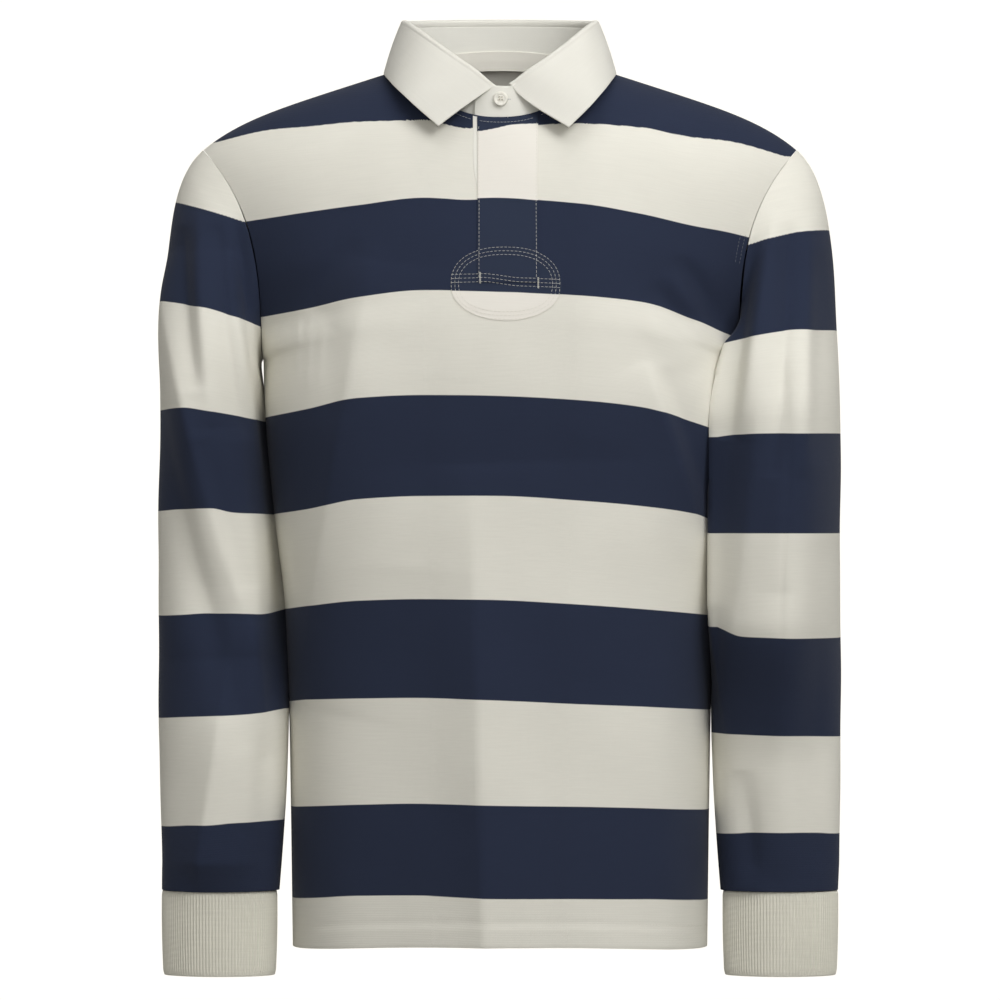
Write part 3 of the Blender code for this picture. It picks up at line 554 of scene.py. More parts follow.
def jersey_finish():
    """Plain knit: columns of V-shaped loops. In each column the height is a sine across its two legs,
    times a sine down them that is slanted by the distance from the column's middle."""
    made, shader, tree = fabric("striped_jersey", 0.95, 0.05)
    cloth_uv = node(tree, "ShaderNodeUVMap", uv_map="cloth").outputs["UV"]
    tree.links.new(uneven(tree, two_tone(tree, NAVY, CREAM), cloth_uv, 0.025), shader.inputs["Base Color"])
    split = node(tree, "ShaderNodeSeparateXYZ", {0: cloth_uv}).outputs
    leg = calc(tree, "PINGPONG", calc(tree, "DIVIDE", split["X"], KNIT_COLUMN * MM), 0.5)
    slanted = calc(tree, "ADD", calc(tree, "DIVIDE", split["Y"], KNIT_ROW * MM), leg)
    across_leg = calc(tree, "SINE", calc(tree, "MULTIPLY", leg, 2 * math.pi))
    down_leg = calc(tree, "SINE", calc(tree, "MULTIPLY", slanted, 2 * math.pi))
    loops = calc(tree, "MULTIPLY", across_leg, calc(tree, "MULTIPLY_ADD", down_leg, 0.3, 0.7))
    emboss(tree, shader, loops, 0.0003, 0.35)
    return made


BODY_LEVELS = np.concatenate((np.linspace(0, 1, 48)[:-1], np.linspace(1, 2, 188)))
EASE_REACH = 0.05  # as a share of the half width


def eased(grid, across):
    """Cloth doesn't keep the corner where the shoulder seam meets the neck: each row is blended, near
    that corner's columns and more so further down, with its own average under a bell along the row."""
    apart = across[:, None] - across[None, :]
    spread = np.exp(-((apart / EASE_REACH) ** 2)) * np.gradient(across)[None, :]
    average = np.einsum("ij,rjk->rik", spread / spread.sum(axis=1, keepdims=True), grid)
    near = np.exp(-(((np.abs(across) - NECK_SHARE) / (3 * EASE_REACH)) ** 2))[None, :, None]
    down = (soft_step(BODY_LEVELS, 0.02, 0.3) * (1 - soft_step(BODY_LEVELS, 1.2, 1.5)))[:, None, None]
    return grid + near * down * (average - grid)


def panel(side, across, table):
    """A panel's points and the count of stripe edges above each."""
    grid = eased(body(side, across[None, :], BODY_LEVELS[:, None], table), across)
    seen = (STRIPE_PLACES != DIP_PLACE) | (side < 0)
    return grid, stripe_count(STRIPE_PLACES[seen], BODY_STRIPES[:, seen], 1.0, grid[..., 0], grid[..., 2])


jersey = jersey_finish()
to_side = np.concatenate((
    NECK_SHARE * np.sin(np.linspace(0, math.pi / 2, 26)[1:]),
    NECK_SHARE + (1 - NECK_SHARE) * np.sin(np.linspace(0, math.pi / 2, 60))[1:],
))
slit_sides = np.array((SLIT_X - SLIT_HALF, SLIT_X + SLIT_HALF)) / SHOULDER_HALF
front_across = np.sort(np.concatenate((-to_side, (0,), to_side, slit_sides)))
front_grid, front_stripes = panel(-1, front_across, FRONT_FOLDS)
in_slit = np.abs(front_across[:-1] - slit_sides[0]) < 1e-9
open_slit = in_slit[None, :] & (front_grid[1:, :-1, 2] > SLIT_FOOT)
front_mesh = woven("front_panel", front_grid, front_stripes, open_slit)
front = add_cloth("front_panel", front_mesh, jersey, JERSEY, "front")


# ---------------------------------------------------------------- back
# The back panel: the same jersey in one piece, seamed to the front at the shoulders and down the sides, so
# that the stripes meet there. Its folds fall from the shoulder blades and from the waist. Its outside isn't
# seen in the photograph.

BACK_FOLDS = columns(FOLD_NAMES, (
    (-70, -120, -165, -250, 8, 16, 12, -4.0, 1.6),
    (-52, -140, -150, -286, 8, 10, 14, 2.6, 1.6),
    (82, -130, 168, -262, -8, 12, 16, -4.0, 1.6),
    (64, -150, 150, -300, -8, 14, 10, 2.6, 1.6),
    (-112, -230, -150, -430, 6, 8, 17, 4.0, 1.6),
    (-128, -240, -164, -430, 6, 14, 8, -3.0, 1.6),
    (118, -250, 148, -400, -4, 16, 8, 4.0, 1.6),
    (132, -250, 164, -420, -4, 8, 14, -3.4, 1.6),
    (-30, -420, -48, -700, 5, 30, 18, -5.0, 1.6),
    (2, -440, -6, -700, 3, 12, 22, 2.2, 1.6),
    (40, -470, 34, -700, -4, 24, 24, 3.6, 1.6),
    (96, -540, 104, -702, 3, 22, 16, -4.0, 1.6),
    (-108, -520, -118, -702, 0, 20, 24, 3.0, 1.6),
    (-20, -150, -30, -330, 6, 30, 34, -2.0, 1.6),
    (44, -170, 56, -380, -6, 32, 30, 1.8, 1.6),
))
back_across = np.concatenate((-to_side[::-1], (0,), to_side))
back_grid, back_stripes = panel(1, back_across, BACK_FOLDS)
back_mesh = woven("back_panel", back_grid[:, ::-1], back_stripes[:, ::-1])
back = add_cloth("back_panel", back_mesh, jersey, JERSEY, "back")


# ---------------------------------------------------------------- sleeves
# Two long set-in sleeves of the jersey, each a tube with one seam along its inner side. The cap is full, the
# arm hangs straight down, and the cloth falls in long slanting folds that differ on the two sides. The right
# sleeve hangs a little further forward, and its inner side lies over the front of the body.

ARMHOLE_GAP_TOP = 0.5  # the sleeve seam stands this far out at the shoulder point
ARMHOLE_GAP_LOW = 3.8  # and this far at the armpit, where the two walls turn to face each other
SLEEVE_RELIEF = 1.5  # all folds of the sleeves stand out this much more than listed below
TUCKED_Y = 24.0  # below the armpit the inner side lies against the body, this far behind its side seam
TUCKED_RINGS = (3.5, 6, 8.6, 10.5)  # the rings below at which that begins, is full, begins to go, and is gone

# Rings along a sleeve, from the armhole to the cuff seam: height and half width at the outer and at the
# inner side, the ring's centre and half depth from front to back, and its lean into the body.
SLEEVE = columns("z_out z_in x_out x_in y_mid y_half lean", (
    (-67, -235, 236.5, 190.2, 0, 57, 3.2),
    (-77, -237, 245.3, 190.8, 0, 60, 2.8),
    (-92, -241, 253.5, 191.3, -1, 63, 2.3),
    (-118, -247, 261, 191.2, -2, 67, 1.9),
    (-160, -257, 266, 189.4, -3, 70, 1.5),
    (-215, -274, 269, 187.0, -6, 72, 1.25),
    (-275, -300, 270.7, 183.8, -10, 70, 1.05),
    (-330, -336, 271.2, 179.2, -14, 64, 1.0),
    (-380, -380, 271.4, 172.6, -18, 57, 1.0),
    (-430, -430, 271.3, 168.6, -22, 51, 1.0),
    (-500, -500, 270.8, 167.6, -26, 45, 1.0),
    (-563, -563, 270.2, 169.0, -30, 40, 1.0),
    (-611, -611, 269.4, 171.6, -32, 35, 1.0),
    (-656.2, -656.2, 268.4, 175, -34, 30, 1.0),
))

# Folds of each sleeve, seen square to its front and to its back. Across is the distance from the middle of
# the shirt, so left is the side towards the body.
SLEEVE_FOLDS = {
    ("left", "front"): columns(FOLD_NAMES, (
        (267, -150, 179, -548, 5, 22, 20, 9.6, 1.1),
        (284, -170, 198, -548, 5, 11, 16, -4.4, 2),
        (251, -130, 236, -262, 0, 7, 8, -4.0, 1.7),
        (238, -118, 226, -290, 2, 9, 9, 4.8, 1.3),
        (222, -130, 208, -300, 0, 8, 8, -4.0, 1.7),
        (208, -200, 196, -330, 0, 7, 7, 2.8, 1.5),
        (203, -112, 186, -330, 4, 10, 9, -8.6, 2),
        (212, -440, 256, -800, -2, 34, 16, 7.6, 1.12),
        (182, -470, 180, -640, 0, 10, 12, -5.0, 2),
        (233, -300, 208, -420, 0, 8, 9, -2.4, 2),
        (206, -150, 192, -470, 0, 18, 64, 8.5, 1.25),
    )),
    ("right", "front"): columns(FOLD_NAMES, (
        (243, -120, 236, -330, 1, 9, 10, 3.8, 1.4),
        (228, -128, 214, -330, 2, 8, 8, -3.6, 1.8),
        (216, -118, 188, -300, 2, 9, 9, 4.6, 1.4),
        (198, -140, 178, -300, 0, 12, 8, -7.0, 2),
        (254, -150, 246, -320, 0, 9, 12, -2.6, 2),
        (205, -225, 172, -520, 6, 18, 40, 4.0, 1.15),
        (184, -240, 164, -500, 0, 14, 10, -2.0, 2),
        (168, -430, 166, -600, 0, 9, 9, -6.0, 2),
        (226, -260, 216, -420, 0, 12, 10, 2.4, 1.5),
        (222, -420, 220, -650, 2, 14, 14, 1.8, 2),
        (246, -380, 250, -640, 0, 16, 12, -1.8, 2),
        (190, -560, 196, -652, 0, 10, 10, -3.4, 2),
    )),
    ("left", "back"): columns(FOLD_NAMES, (
        (250, -180, 205, -400, 3, 10, 14, -4.0, 1.6),
        (262, -196, 220, -420, 3, 14, 7, 3.4, 1.6),
        (208, -410, 242, -610, 0, 14, 8, -4.0, 1.6),
        (194, -430, 226, -620, 0, 8, 14, 3.0, 1.6),
        (222, -130, 200, -270, 0, 9, 9, -3.0, 1.6),
    )),
    ("right", "back"): columns(FOLD_NAMES, (
        (238, -170, 198, -370, 2, 10, 13, -4.0, 1.6),
        (252, -190, 212, -390, 2, 14, 7, 3.4, 1.6),
        (202, -420, 240, -600, 0, 13, 8, -3.6, 1.6),
        (190, -320, 180, -480, 0, 8, 10, -3.0, 1.6),
        (216, -450, 250, -630, 0, 8, 14, 2.8, 1.6),
    )),
}

# Heights of each sleeve's stripe edges, from the first below its cream cap, at these distances from the
# middle of the shirt
SLEEVE_PLACES = np.array((268, 250, 230, 210, 190, 172), float)
SLEEVE_STRIPES = {
    "left": np.array((
        (-107.0, -112.8, -119.3, -125.5, -131.5, -136.0),
        (-190.0, -193.0, -196.9, -203.1, -209.8, -215.2),
        (-276.2, -274.8, -277.2, -280.6, -284.6, -288.4),
        (-356.0, -354.3, -353.5, -357.1, -358.3, -359.9),
        (-438.7, -437.8, -436.6, -436.4, -437.5, -434.3),
        (-519.9, -518.5, -517.6, -516.8, -515.1, -512.6),
        (-605.6, -603.9, -602.8, -601.3, -600.6, -600.0),
    )),
    "right": np.array((
        (-131.7, -134.0, -136.9, -142.3, -147.8, -152.4),
        (-212.3, -213.5, -214.2, -216.9, -221.3, -225.6),
        (-294.5, -295.0, -295.3, -295.2, -295.7, -297.9),
        (-373.5, -373.3, -373.2, -373.2, -373.3, -373.4),
        (-456.3, -455.6, -455.2, -454.5, -453.7, -446.6),
        (-534.7, -533.5, -532.6, -532.2, -531.7, -531.6),
        (-611.1, -609.8, -609.1, -609.1, -610.1, -611.1),
    )),
}


LAP_TURN = math.radians(138)  # the turn at which the lapping side reaches its edge
LAP_X = 164.5  # how far that edge lies from the middle of the shirt
LAP_EDGE_Y = 77.0  # and how far forward
LAP_FRONT_Y = 107.0  # how far forward the front of the arm stands
LAP_CLEAR = 0.8  # gap between the lapping side and the body
LAP_HEIGHTS = (150, 285, 440, 560)  # how far down it comes in, is full, begins to go, and is gone
LAP_STEM = 2.4  # how many of the sleeve's rings it takes to come in below the armhole


def lapped(turn, at, surface, start_x, front_y, tucked_y):
    """Rings whose inner side lies over the front of the body. The front of the arm stands fuller by a
    power of the sine of the turn. From there a ring falls back by a cosine to an edge, and then runs back
    along the body's own outline to the side seam, whose shift fades behind the arm by a power of the turn's
    cosine. Below and above, it is the plain ring."""
    z = surface[..., 2]
    half, depth, rounding = (
        smooth(z, BODY["z_side"], np.abs(BODY[key])) for key in ("half", "front", "round")
    )
    over = np.clip((turn - math.pi / 2) / (LAP_TURN - math.pi / 2), 0, 1)
    under = np.clip((turn - LAP_TURN) / (math.pi - LAP_TURN), 0, 1)
    back_y = -LAP_EDGE_Y + (tucked_y + LAP_EDGE_Y) * under
    crown = np.clip(-back_y / depth, 0, 1)
    body_x = half * np.clip(1 - crown**rounding, 0, 1) ** (1 / 2.6) + LAP_CLEAR + JERSEY
    over_x = start_x + (LAP_X - start_x) * over
    over_y = -LAP_FRONT_Y + (LAP_FRONT_Y - LAP_EDGE_Y) * (1 - np.cos(math.pi / 2 * over))
    along_body = points(np.maximum(body_x, LAP_X), back_y, z)
    target = np.where((turn < LAP_TURN)[..., None], points(over_x, over_y, z), along_body)
    weight = soft_step(-z, *LAP_HEIGHTS[:2]) * (1 - soft_step(-z, *LAP_HEIGHTS[2:]))
    weight = weight * soft_step(at, 0, LAP_STEM)
    shift = (target - surface) * weight[..., None]
    at_seam = shift[:, :1] * ((1 - np.cos(turn)) / 2)[..., None] ** 6
    fuller = points(0, (-LAP_FRONT_Y - front_y) * weight * np.sin(np.clip(turn, 0, math.pi / 2)) ** 2.5, 0)
    outer = np.where((turn < 0)[..., None], at_seam, fuller)
    return surface + np.where((turn > math.pi / 2)[..., None], shift, outer)


def sleeve(side, turn, length):
    """A sleeve's inner face at a turn round the arm in radians (0 on the outer side, a quarter turn in
    front) and at a length from 0, at the armhole, to 1, at the cuff seam. Each ring is an ellipse seen
    from above that is drawn down on its inner side, leans into the body near the armhole, and is tucked
    back against the body below it. The first rings are drawn onto the armhole. The folds in front and
    behind move the cloth away from the middle of the arm."""
    at = length * (len(SLEEVE["lean"]) - 1)
    keys = np.arange(len(SLEEVE["lean"]), dtype=float)
    z_out, z_in, x_out, x_in, y_mid, y_half, lean = (smooth(at, keys, SLEEVE[k]) for k in SLEEVE)
    rise = (1 + np.cos(turn)) / 2
    x_out = x_out - JERSEY
    x_in = x_in + JERSEY
    tucked = (TUCKED_Y - y_mid) * soft_step(at, *TUCKED_RINGS[:2]) * (1 - soft_step(at, *TUCKED_RINGS[2:]))
    formula = points(
        x_in + (x_out - x_in) * rise**lean,
        y_mid - (y_half - JERSEY) * np.sin(turn) + tucked * (1 - rise) ** 1.5,
        z_in + (z_out - z_in) * rise,
    )
    if side > 0:
        front_x = x_in + (x_out - x_in) * 0.5**lean
        front_y = y_mid - y_half + JERSEY + tucked * 0.5**1.5
        formula = lapped(turn + 0 * at, at, formula, front_x, front_y, y_mid + tucked)
    loop_x, loop_y, loop_z = armhole(turn)
    gap = ARMHOLE_GAP_TOP + (ARMHOLE_GAP_LOW - ARMHOLE_GAP_TOP) * (1 - rise)
    first = {key: SLEEVE[key][0] for key in SLEEVE}
    start = points(
        first["x_in"] + JERSEY + (first["x_out"] - first["x_in"] - 2 * JERSEY) * rise ** first["lean"],
        first["y_mid"] - (first["y_half"] - JERSEY) * np.sin(turn),
        first["z_in"] + (first["z_out"] - first["z_in"]) * rise,
    )
    onto_armhole = points(loop_x + gap, -loop_y, loop_z) - start
    surface = formula + np.clip(1 - at / 3, 0, 1)[..., None] ** 2 * onto_armhole
    moved = wander(np.degrees(turn) * 0.9, surface[..., 2])
    which = "left" if side < 0 else "right"
    for face, sign in (("front", 1), ("back", -1)):
        weight = soft_step(sign * np.sin(turn), 0.0, 0.55)
        raised = folds(SLEEVE_FOLDS[which, face], surface[..., 0], surface[..., 2])
        moved = moved + weight * SLEEVE_RELIEF * raised
    clear = np.clip(at / 2.2, 0, 1) * np.clip((len(keys) - 1 - at) / 0.5, 0, 1)
    clear = clear * np.clip(1.5 + 1.4 * np.cos(turn), 0, 1)
    centre = points((x_out + x_in) / 2 + 0 * turn, y_mid + 0 * turn, surface[..., 2])
    surface = surface + unit(surface - centre) * (moved * clear)[..., None]
    return surface * np.array((side, 1, 1))


sleeve_lengths = np.concatenate((np.linspace(0, 0.42, 100)[:-1], np.linspace(0.42, 1, 170)))[:, None]
for which, side in (("left", -1), ("right", 1)):
    turns = math.pi - side * np.linspace(0, 2 * math.pi, 161)[None, :]
    grid = sleeve(side, turns, sleeve_lengths)
    stripes = stripe_count(SLEEVE_PLACES, SLEEVE_STRIPES[which], 2.0, np.abs(grid[..., 0]), grid[..., 2])
    name = f"{which}_sleeve"
    made = add_cloth(name, woven(name, grid, stripes), jersey, JERSEY, f"sleeve_{which}")


# ---------------------------------------------------------------- cuffs
# A tube of rib knit at each wrist, cut to half of the sleeve's width and stretched as it is sewn on. The
# ribs run along the arm and draw the cuff in.

CUFF_TOP = -656.8
CUFF_END = -723.8
CUFF_RIBS = 110
RIB_RISE = 0.7  # the ribs stand this far out of the cuff's plain wall
CUFF_WALL = 1.4
CUFF_SWELL = 0.54  # it is fuller by this between its two edges
CUFF_OUTWARD = 0.9  # its middle lies this far outside the sleeve's
CUFF_NARROW = 0.8  # its outer face lies this far inside the end of the sleeve
CUFF_TAPER = 1.2  # and this much further in at its lower edge
CUFF_DENT = 2.6  # how far the cloth falls in where the sleeve's last fold runs over it
CUFF_DENT_TURN = {-1: 0.62, 1: 2.45}  # at which turn, on the left and the right
CUFF_DENT_REACH = 0.42
POINTS_A_RIB = 5
RIB_CREAM = (0.745, 0.725, 0.63, 1.0)


def rib_finish():
    """Rib knit: the bump is a sine down the loops of each rib."""
    made, shader, tree = fabric("rib_knit", 0.92, 0.12)
    cloth_uv = node(tree, "ShaderNodeUVMap", uv_map="cloth").outputs["UV"]
    tree.links.new(uneven(tree, RIB_CREAM, cloth_uv, 0.05), shader.inputs["Base Color"])
    down = node(tree, "ShaderNodeSeparateXYZ", {0: cloth_uv}).outputs["Y"]
    loops = calc(tree, "SINE", calc(tree, "MULTIPLY", down, 2 * math.pi / (KNIT_ROW * MM)))
    emboss(tree, shader, loops, 0.00025, 0.3)
    return made


def cuff(side, turn):
    """A ribbed tube as a closed profile that is carried round the arm: down the ribbed outer face, round
    the lower edge and up the plain inner face. The ribs are a sine of the turn that fades at both edges,
    and the outer side falls in slightly where the sleeve's last fold runs over it."""
    last = {key: SLEEVE[key][-1] for key in SLEEVE}
    x_mid = (last["x_out"] + last["x_in"]) / 2 + CUFF_OUTWARD
    share = np.linspace(0, 1, 36)[:, None]
    fade = soft_step(share, 0, 0.05) * (1 - soft_step(share, 0.95, 1))
    rib = RIB_RISE * (0.5 + 0.5 * np.cos(CUFF_RIBS * turn)) * fade
    outside = rib - RIB_RISE + CUFF_SWELL * np.sin(math.pi * share)
    edge = np.linspace(0, math.pi, 7)[1:-1, None]
    wall = CUFF_WALL / 2
    out = np.concatenate((
        outside,
        -RIB_RISE - wall + wall * np.cos(edge) + 0 * turn,
        -RIB_RISE - CUFF_WALL + 0 * share + 0 * turn,
        outside[:1],
    ))
    down = np.concatenate((share, 1 + 0 * edge, 1 - share, share[:1]))
    turned = np.concatenate((0 * share, wall * np.sin(edge), 0 * share, 0 * share[:1]))
    z = CUFF_TOP + (CUFF_END + wall - CUFF_TOP) * down - turned
    narrow = CUFF_NARROW + CUFF_TAPER * down
    dent = CUFF_DENT * np.exp(-(((turn - CUFF_DENT_TURN[side]) / CUFF_DENT_REACH) ** 2))
    width = (last["x_out"] - last["x_in"]) / 2 - narrow + out
    deep = last["y_half"] - narrow * 1.6 + out - dent
    return points(side * (x_mid + width * np.cos(turn)), last["y_mid"] - deep * np.sin(turn), z)


rib_knit = rib_finish()
for which, side in (("left", -1), ("right", 1)):
    turns = np.linspace(-math.pi / 2, 1.5 * math.pi, CUFF_RIBS * POINTS_A_RIB + 1)[::-side][None, :]
    name = f"{which}_cuff"
    made = add_cloth(name, woven(name, cuff(side, turns)), rib_knit, 0, f"cuff_{which}")


# ---------------------------------------------------------------- collar stand
# A strip of cream cotton twill, cut on the grain and turned in at its edges, that stands up round the neck.
# Its buttoned end laps over the other in front.

STAND_TOP_HALF = 73.6  # half width of the top edge
STAND_TOP_FRONT = 79.5  # it reaches this far forward
STAND_TOP_BACK = 58.0  # and this far back
STAND_TOP_SIDE_Z = 30.5
STAND_TOP_DROP = 57.0  # the front of the top edge lies this far below its sides
STAND_TOP_RISE = 6.0  # and the back this far above them
STAND_TOP_SAG = (5.0, 2.4)  # the falling top edges sag this far below straight lines, right and left
STAND_INSET = 1.3  # the stand stands this far inside the neck edge of the panels
STAND_OVERLAP = 2.7  # the buttoned end of the stand lies this far outside the end below it
STAND_LIFT = 0.02  # and its foot this share of the stand's height above the panel's edge
STAND_FLAT = 0.08  # between the ends of the leaf its top edge is level, up to this share of its half width
STAND_DROOP = 1.6  # the foot of its buttoned end hangs this far
STAND_UNDER = math.radians(13.0)  # how far past the middle the lower end stops
STAND_OVER = math.radians(15.0)  # and the buttoned end
LAP_FROM = 2.6  # that end begins to move outwards so many times STAND_UNDER before the middle
LIFT_FROM = 4.6  # and its foot to rise so many
LAP_RUN = 1.4  # and each is done after so many more
TWILL_CREAM = (0.83, 0.818, 0.75, 1.0)
TWILL_LINE = 0.9  # from one diagonal line of the twill to the next


def twill_lines(tree, cloth_uv):
    """The height of twill's diagonal lines: a sine of the distance along the cloth's slant."""
    split = node(tree, "ShaderNodeSeparateXYZ", {0: cloth_uv}).outputs
    slant = calc(tree, "MULTIPLY", calc(tree, "ADD", split["X"], split["Y"]), 2 * math.pi / (TWILL_LINE * MM))
    return calc(tree, "SINE", slant)


def twill_finish(name, colour):
    """Pressed cotton twill in one colour or, if that is None, in the stripes of the placket."""
    made, shader, tree = fabric(name, 0.85, 0.10)
    cloth_uv = node(tree, "ShaderNodeUVMap", uv_map="cloth").outputs["UV"]
    colour = colour or two_tone(tree, PLACKET_NAVY, PLACKET_CREAM)
    tree.links.new(uneven(tree, colour, cloth_uv, 0.015), shader.inputs["Base Color"])
    emboss(tree, shader, twill_lines(tree, cloth_uv), 0.0002, 0.3)
    return made


def stand(turn, rise, outside=0.0):
    """The stand's inner face at a turn in radians from the middle of the front, going left, and a rise
    from 0 at the neck seam to 1 at its top edge. Seen from the front that edge falls to the middle in
    straight lines that sag a little by a sine, and stays level in the two overlapping ends past it."""
    cos = np.cos(turn)
    behind = np.clip(-cos, 0, 1)
    within = np.where((turn > 0) & (turn < 2 * math.pi), np.abs(np.sin(turn)), 0)
    fall = np.where(cos > 0, 1 - within, 0)
    top = points(
        -(STAND_TOP_HALF + outside) * np.sin(turn),
        (STAND_TOP_BACK + outside) * behind**0.9 - (STAND_TOP_FRONT + outside) * np.clip(cos, 0, 1),
        STAND_TOP_SIDE_Z - STAND_TOP_DROP * fall + STAND_TOP_RISE * behind**1.1
        - np.where(cos > 0, np.where(turn > math.pi, *STAND_TOP_SAG), 0) * np.sin(math.pi * within),
    )
    foot = neck(-turn, TWILL + STAND_INSET - outside)
    return foot + rise[..., None] * (top - foot)


collar_twill = twill_finish("collar_twill", TWILL_CREAM)
turns = np.concatenate((
    np.linspace(-STAND_UNDER, 0, 24)[:-1],
    np.linspace(0, 2 * math.pi, 300),
    np.linspace(2 * math.pi, 2 * math.pi + STAND_OVER, 27)[1:],
))
past = (turns - 2 * math.pi) / STAND_UNDER
lap = STAND_OVERLAP * np.clip((past + LAP_FROM) / LAP_RUN, 0, 1)
lifted = STAND_LIFT * np.clip((past + LIFT_FROM) / LAP_RUN, 0, 1)
rises = np.linspace(1, 0, 22)[:, None]
grid = stand(turns[None, :] + 0 * rises, lifted + rises * (1 - lifted), lap[None, :])
in_front = np.where((turns > 0) & (turns < 2 * math.pi), np.abs(np.sin(turns)), 0)
grid[..., 2] += rises * STAND_TOP_DROP * np.clip(STAND_FLAT - in_front, 0, 1) * (np.cos(turns) > 0)
grid[..., 2] -= (1 - rises) * STAND_DROOP * soft_step(turns, 2 * math.pi, 2 * math.pi + STAND_OVER)
collar_stand = add_cloth("stand", woven("stand", grid[:, ::-1]), collar_twill, TWILL, "collar_stand")


# ---------------------------------------------------------------- collar leaf
# The leaf of the collar: two layers of cream twill, turned out and pressed flat, sewn to the stand's top
# edge and folded over it, with two long points in front.

LEAF_LIFT = 0.03  # the leaf begins this far above the stand
LEAF_FOLD_RADIUS = 1.5
LEAF_SEAM_TO_FOLD = 2.7  # and rises this far before it folds
LEAF_BULGE = 0.06  # the fall's bulge, as a share of its length
LEAF_SLANT = 0.04  # how far the cloth in the fold already runs towards the points
LEAF_ENDS = (2.8, 354.4)  # degrees: where the leaf begins and ends, either side of the middle of the front
LEAF_SAG = 4.5  # the right point's front edge sags this far
# The leaf is the same twill as the stand, painted darker here as painted shade.
LEAF_CREAM_WITH_PAINTED_SHADE = (0.765, 0.75, 0.685, 1.0)

# The leaf's free edge, from the left point round the back of the neck to the right point
LEAF_EDGE = columns("turn x y z", (
    (3, -48.2, -96, -54.8),
    (28, -70.0, -86, -35.0),
    (52, -85.0, -58, -18.5),
    (78, -91.2, -22, -8.0),
    (104, -89.5, 18, -2.5),
    (134, -74.0, 56, -2.5),
    (158, -42.0, 77, -4.0),
    (180, 0.0, 83, -4.5),
    (202, 42.0, 77, -4.0),
    (226, 74.0, 56, -2.5),
    (256, 89.5, 18, -2.5),
    (282, 91.2, -22, -8.0),
    (308, 85.5, -58, -19.0),
    (332, 73.0, -86, -36.0),
    (356, 53.8, -96, -55.8),
))


def leaf(turn):
    """The leaf's inner face, in lines from the stand's top edge, over the fold and down to the free edge:
    a short rise, half a circle that starts to slant towards the points, and a fall that bulges by a
    power of a sine."""
    top = stand(turn, np.ones_like(turn))
    ahead = stand(turn + 0.01, np.ones_like(turn)) - top
    outward = unit(points(-ahead[:, 1], ahead[:, 0], 0 * turn))
    up = np.array((0, 0, 1.0))
    base = top + outward * TWILL + up * LEAF_LIFT
    from_end = np.minimum(np.degrees(turn) - LEAF_ENDS[0], LEAF_ENDS[1] - np.degrees(turn))
    full = (0.3 + 0.7 * soft_step(from_end, 0, 14))[:, None]
    centre = base + full * (up * LEAF_SEAM_TO_FOLD + outward * LEAF_FOLD_RADIUS)
    keys = LEAF_EDGE["turn"]
    at = np.interp(np.degrees(turn), (LEAF_ENDS[0], keys[1], keys[-2], LEAF_ENDS[1]), keys[[0, 1, -2, -1]])
    edge = points(*(smooth(at, keys, LEAF_EDGE[k]) for k in "xyz"))
    along = unit(ahead * np.array((1, 1, 0)))
    sideways = along * np.sum((edge - centre) * along, axis=-1, keepdims=True)
    bend = np.linspace(0, 1, 10)[:, None, None]
    angle = math.pi * (1 - bend)
    around = outward * np.cos(angle) + up * np.sin(angle)
    fold = centre + full * LEAF_FOLD_RADIUS * around + LEAF_SLANT * bend**2 * sideways
    start = fold[-1]
    fall = np.linalg.norm(edge - start, axis=-1, keepdims=True)
    s = np.linspace(0, 1, 34)[1:, None, None]
    bulge = LEAF_BULGE * fall * np.sin(math.pi * s) ** 0.8
    falling = start + s * (edge - start) + outward * bulge * 0.3 + up * bulge * 0.2
    near_end = soft_step(np.degrees(turn), 330, LEAF_ENDS[1])[:, None]
    falling = falling - up * LEAF_SAG * near_end * np.sin(math.pi * s**0.6)
    return np.concatenate((base[None], fold, falling))


# A darker copy of the collar twill: painted shade on the leaf, which is the same cloth as the stand.
leaf_twill_painted_shade = twill_finish("leaf_twill_painted_shade", LEAF_CREAM_WITH_PAINTED_SHADE)
grid = leaf(np.radians(np.linspace(*LEAF_ENDS, 300)))
collar_leaf = add_cloth("leaf", woven("leaf", grid[:, ::-1]), leaf_twill_painted_shade, TWILL, "collar_leaf")


# ---------------------------------------------------------------- placket
# Two strips over the slit: a lower one of cream twill, whose edge peeks out, and the striped upper one that
# hides the buttons. An oval patch of the striped cloth strengthens the foot of the slit.

STRIP_LEFT = -17.6  # the upper strip
STRIP_RIGHT = 29.5
STRIP_TOP = -48.4
STRIP_FOOT = -178.0
STRIP_WALL = 0.8
STRIP_STEP = 1.1  # from one point of a strip to the next
UNDER_PEEK = 3.4  # at its top the lower strip shows this far beside the upper one
UNDER_HIDDEN = (-84.0, -114.0)  # and between these heights its edge slips under it
UNDER_TUCK = 1.2  # until it lies this far inside the upper one's edge
UNDER_WALL = 0.3  # of the lower strip and the oval patch
UNDER_FOOT = -145.0
PATCH_X = 4.6  # the oval patch
PATCH_Z = -178.6
PATCH_HALF_WIDTH = 43.4
PATCH_HALF_HEIGHT = 29.4
OVAL_SHARE = 0.78  # of the oval patch's rectangle is cut
ON_STRIP = 0.06  # between the lower strip and the upper one
ON_PANEL = 0.04 + JERSEY  # from the panel's inner face to the lower strip
ON_BOTH = ON_PANEL + UNDER_WALL + ON_STRIP  # and to the upper one
PLACKET_PLACES = np.array((-40, -18, -5, 11, 30, 50), float)
PLACKET_STRIPES = np.array((
    (-57.5, -58.5, -56.5, -53.1, -52.2, -52.0),
    (-111.6, -111.4, -111.1, -111.6, -113.2, -115.0),
    (-184.2, -184.7, -185.1, -185.5, -186.4, -187.3),
    (-265.6, -265.9, -266.2, -266.6, -267.6, -268.6),
))
PLACKET_CREAM = (0.845, 0.812, 0.745, 1.0)
PLACKET_NAVY = (0.0242, 0.0332, 0.0615, 1.0)


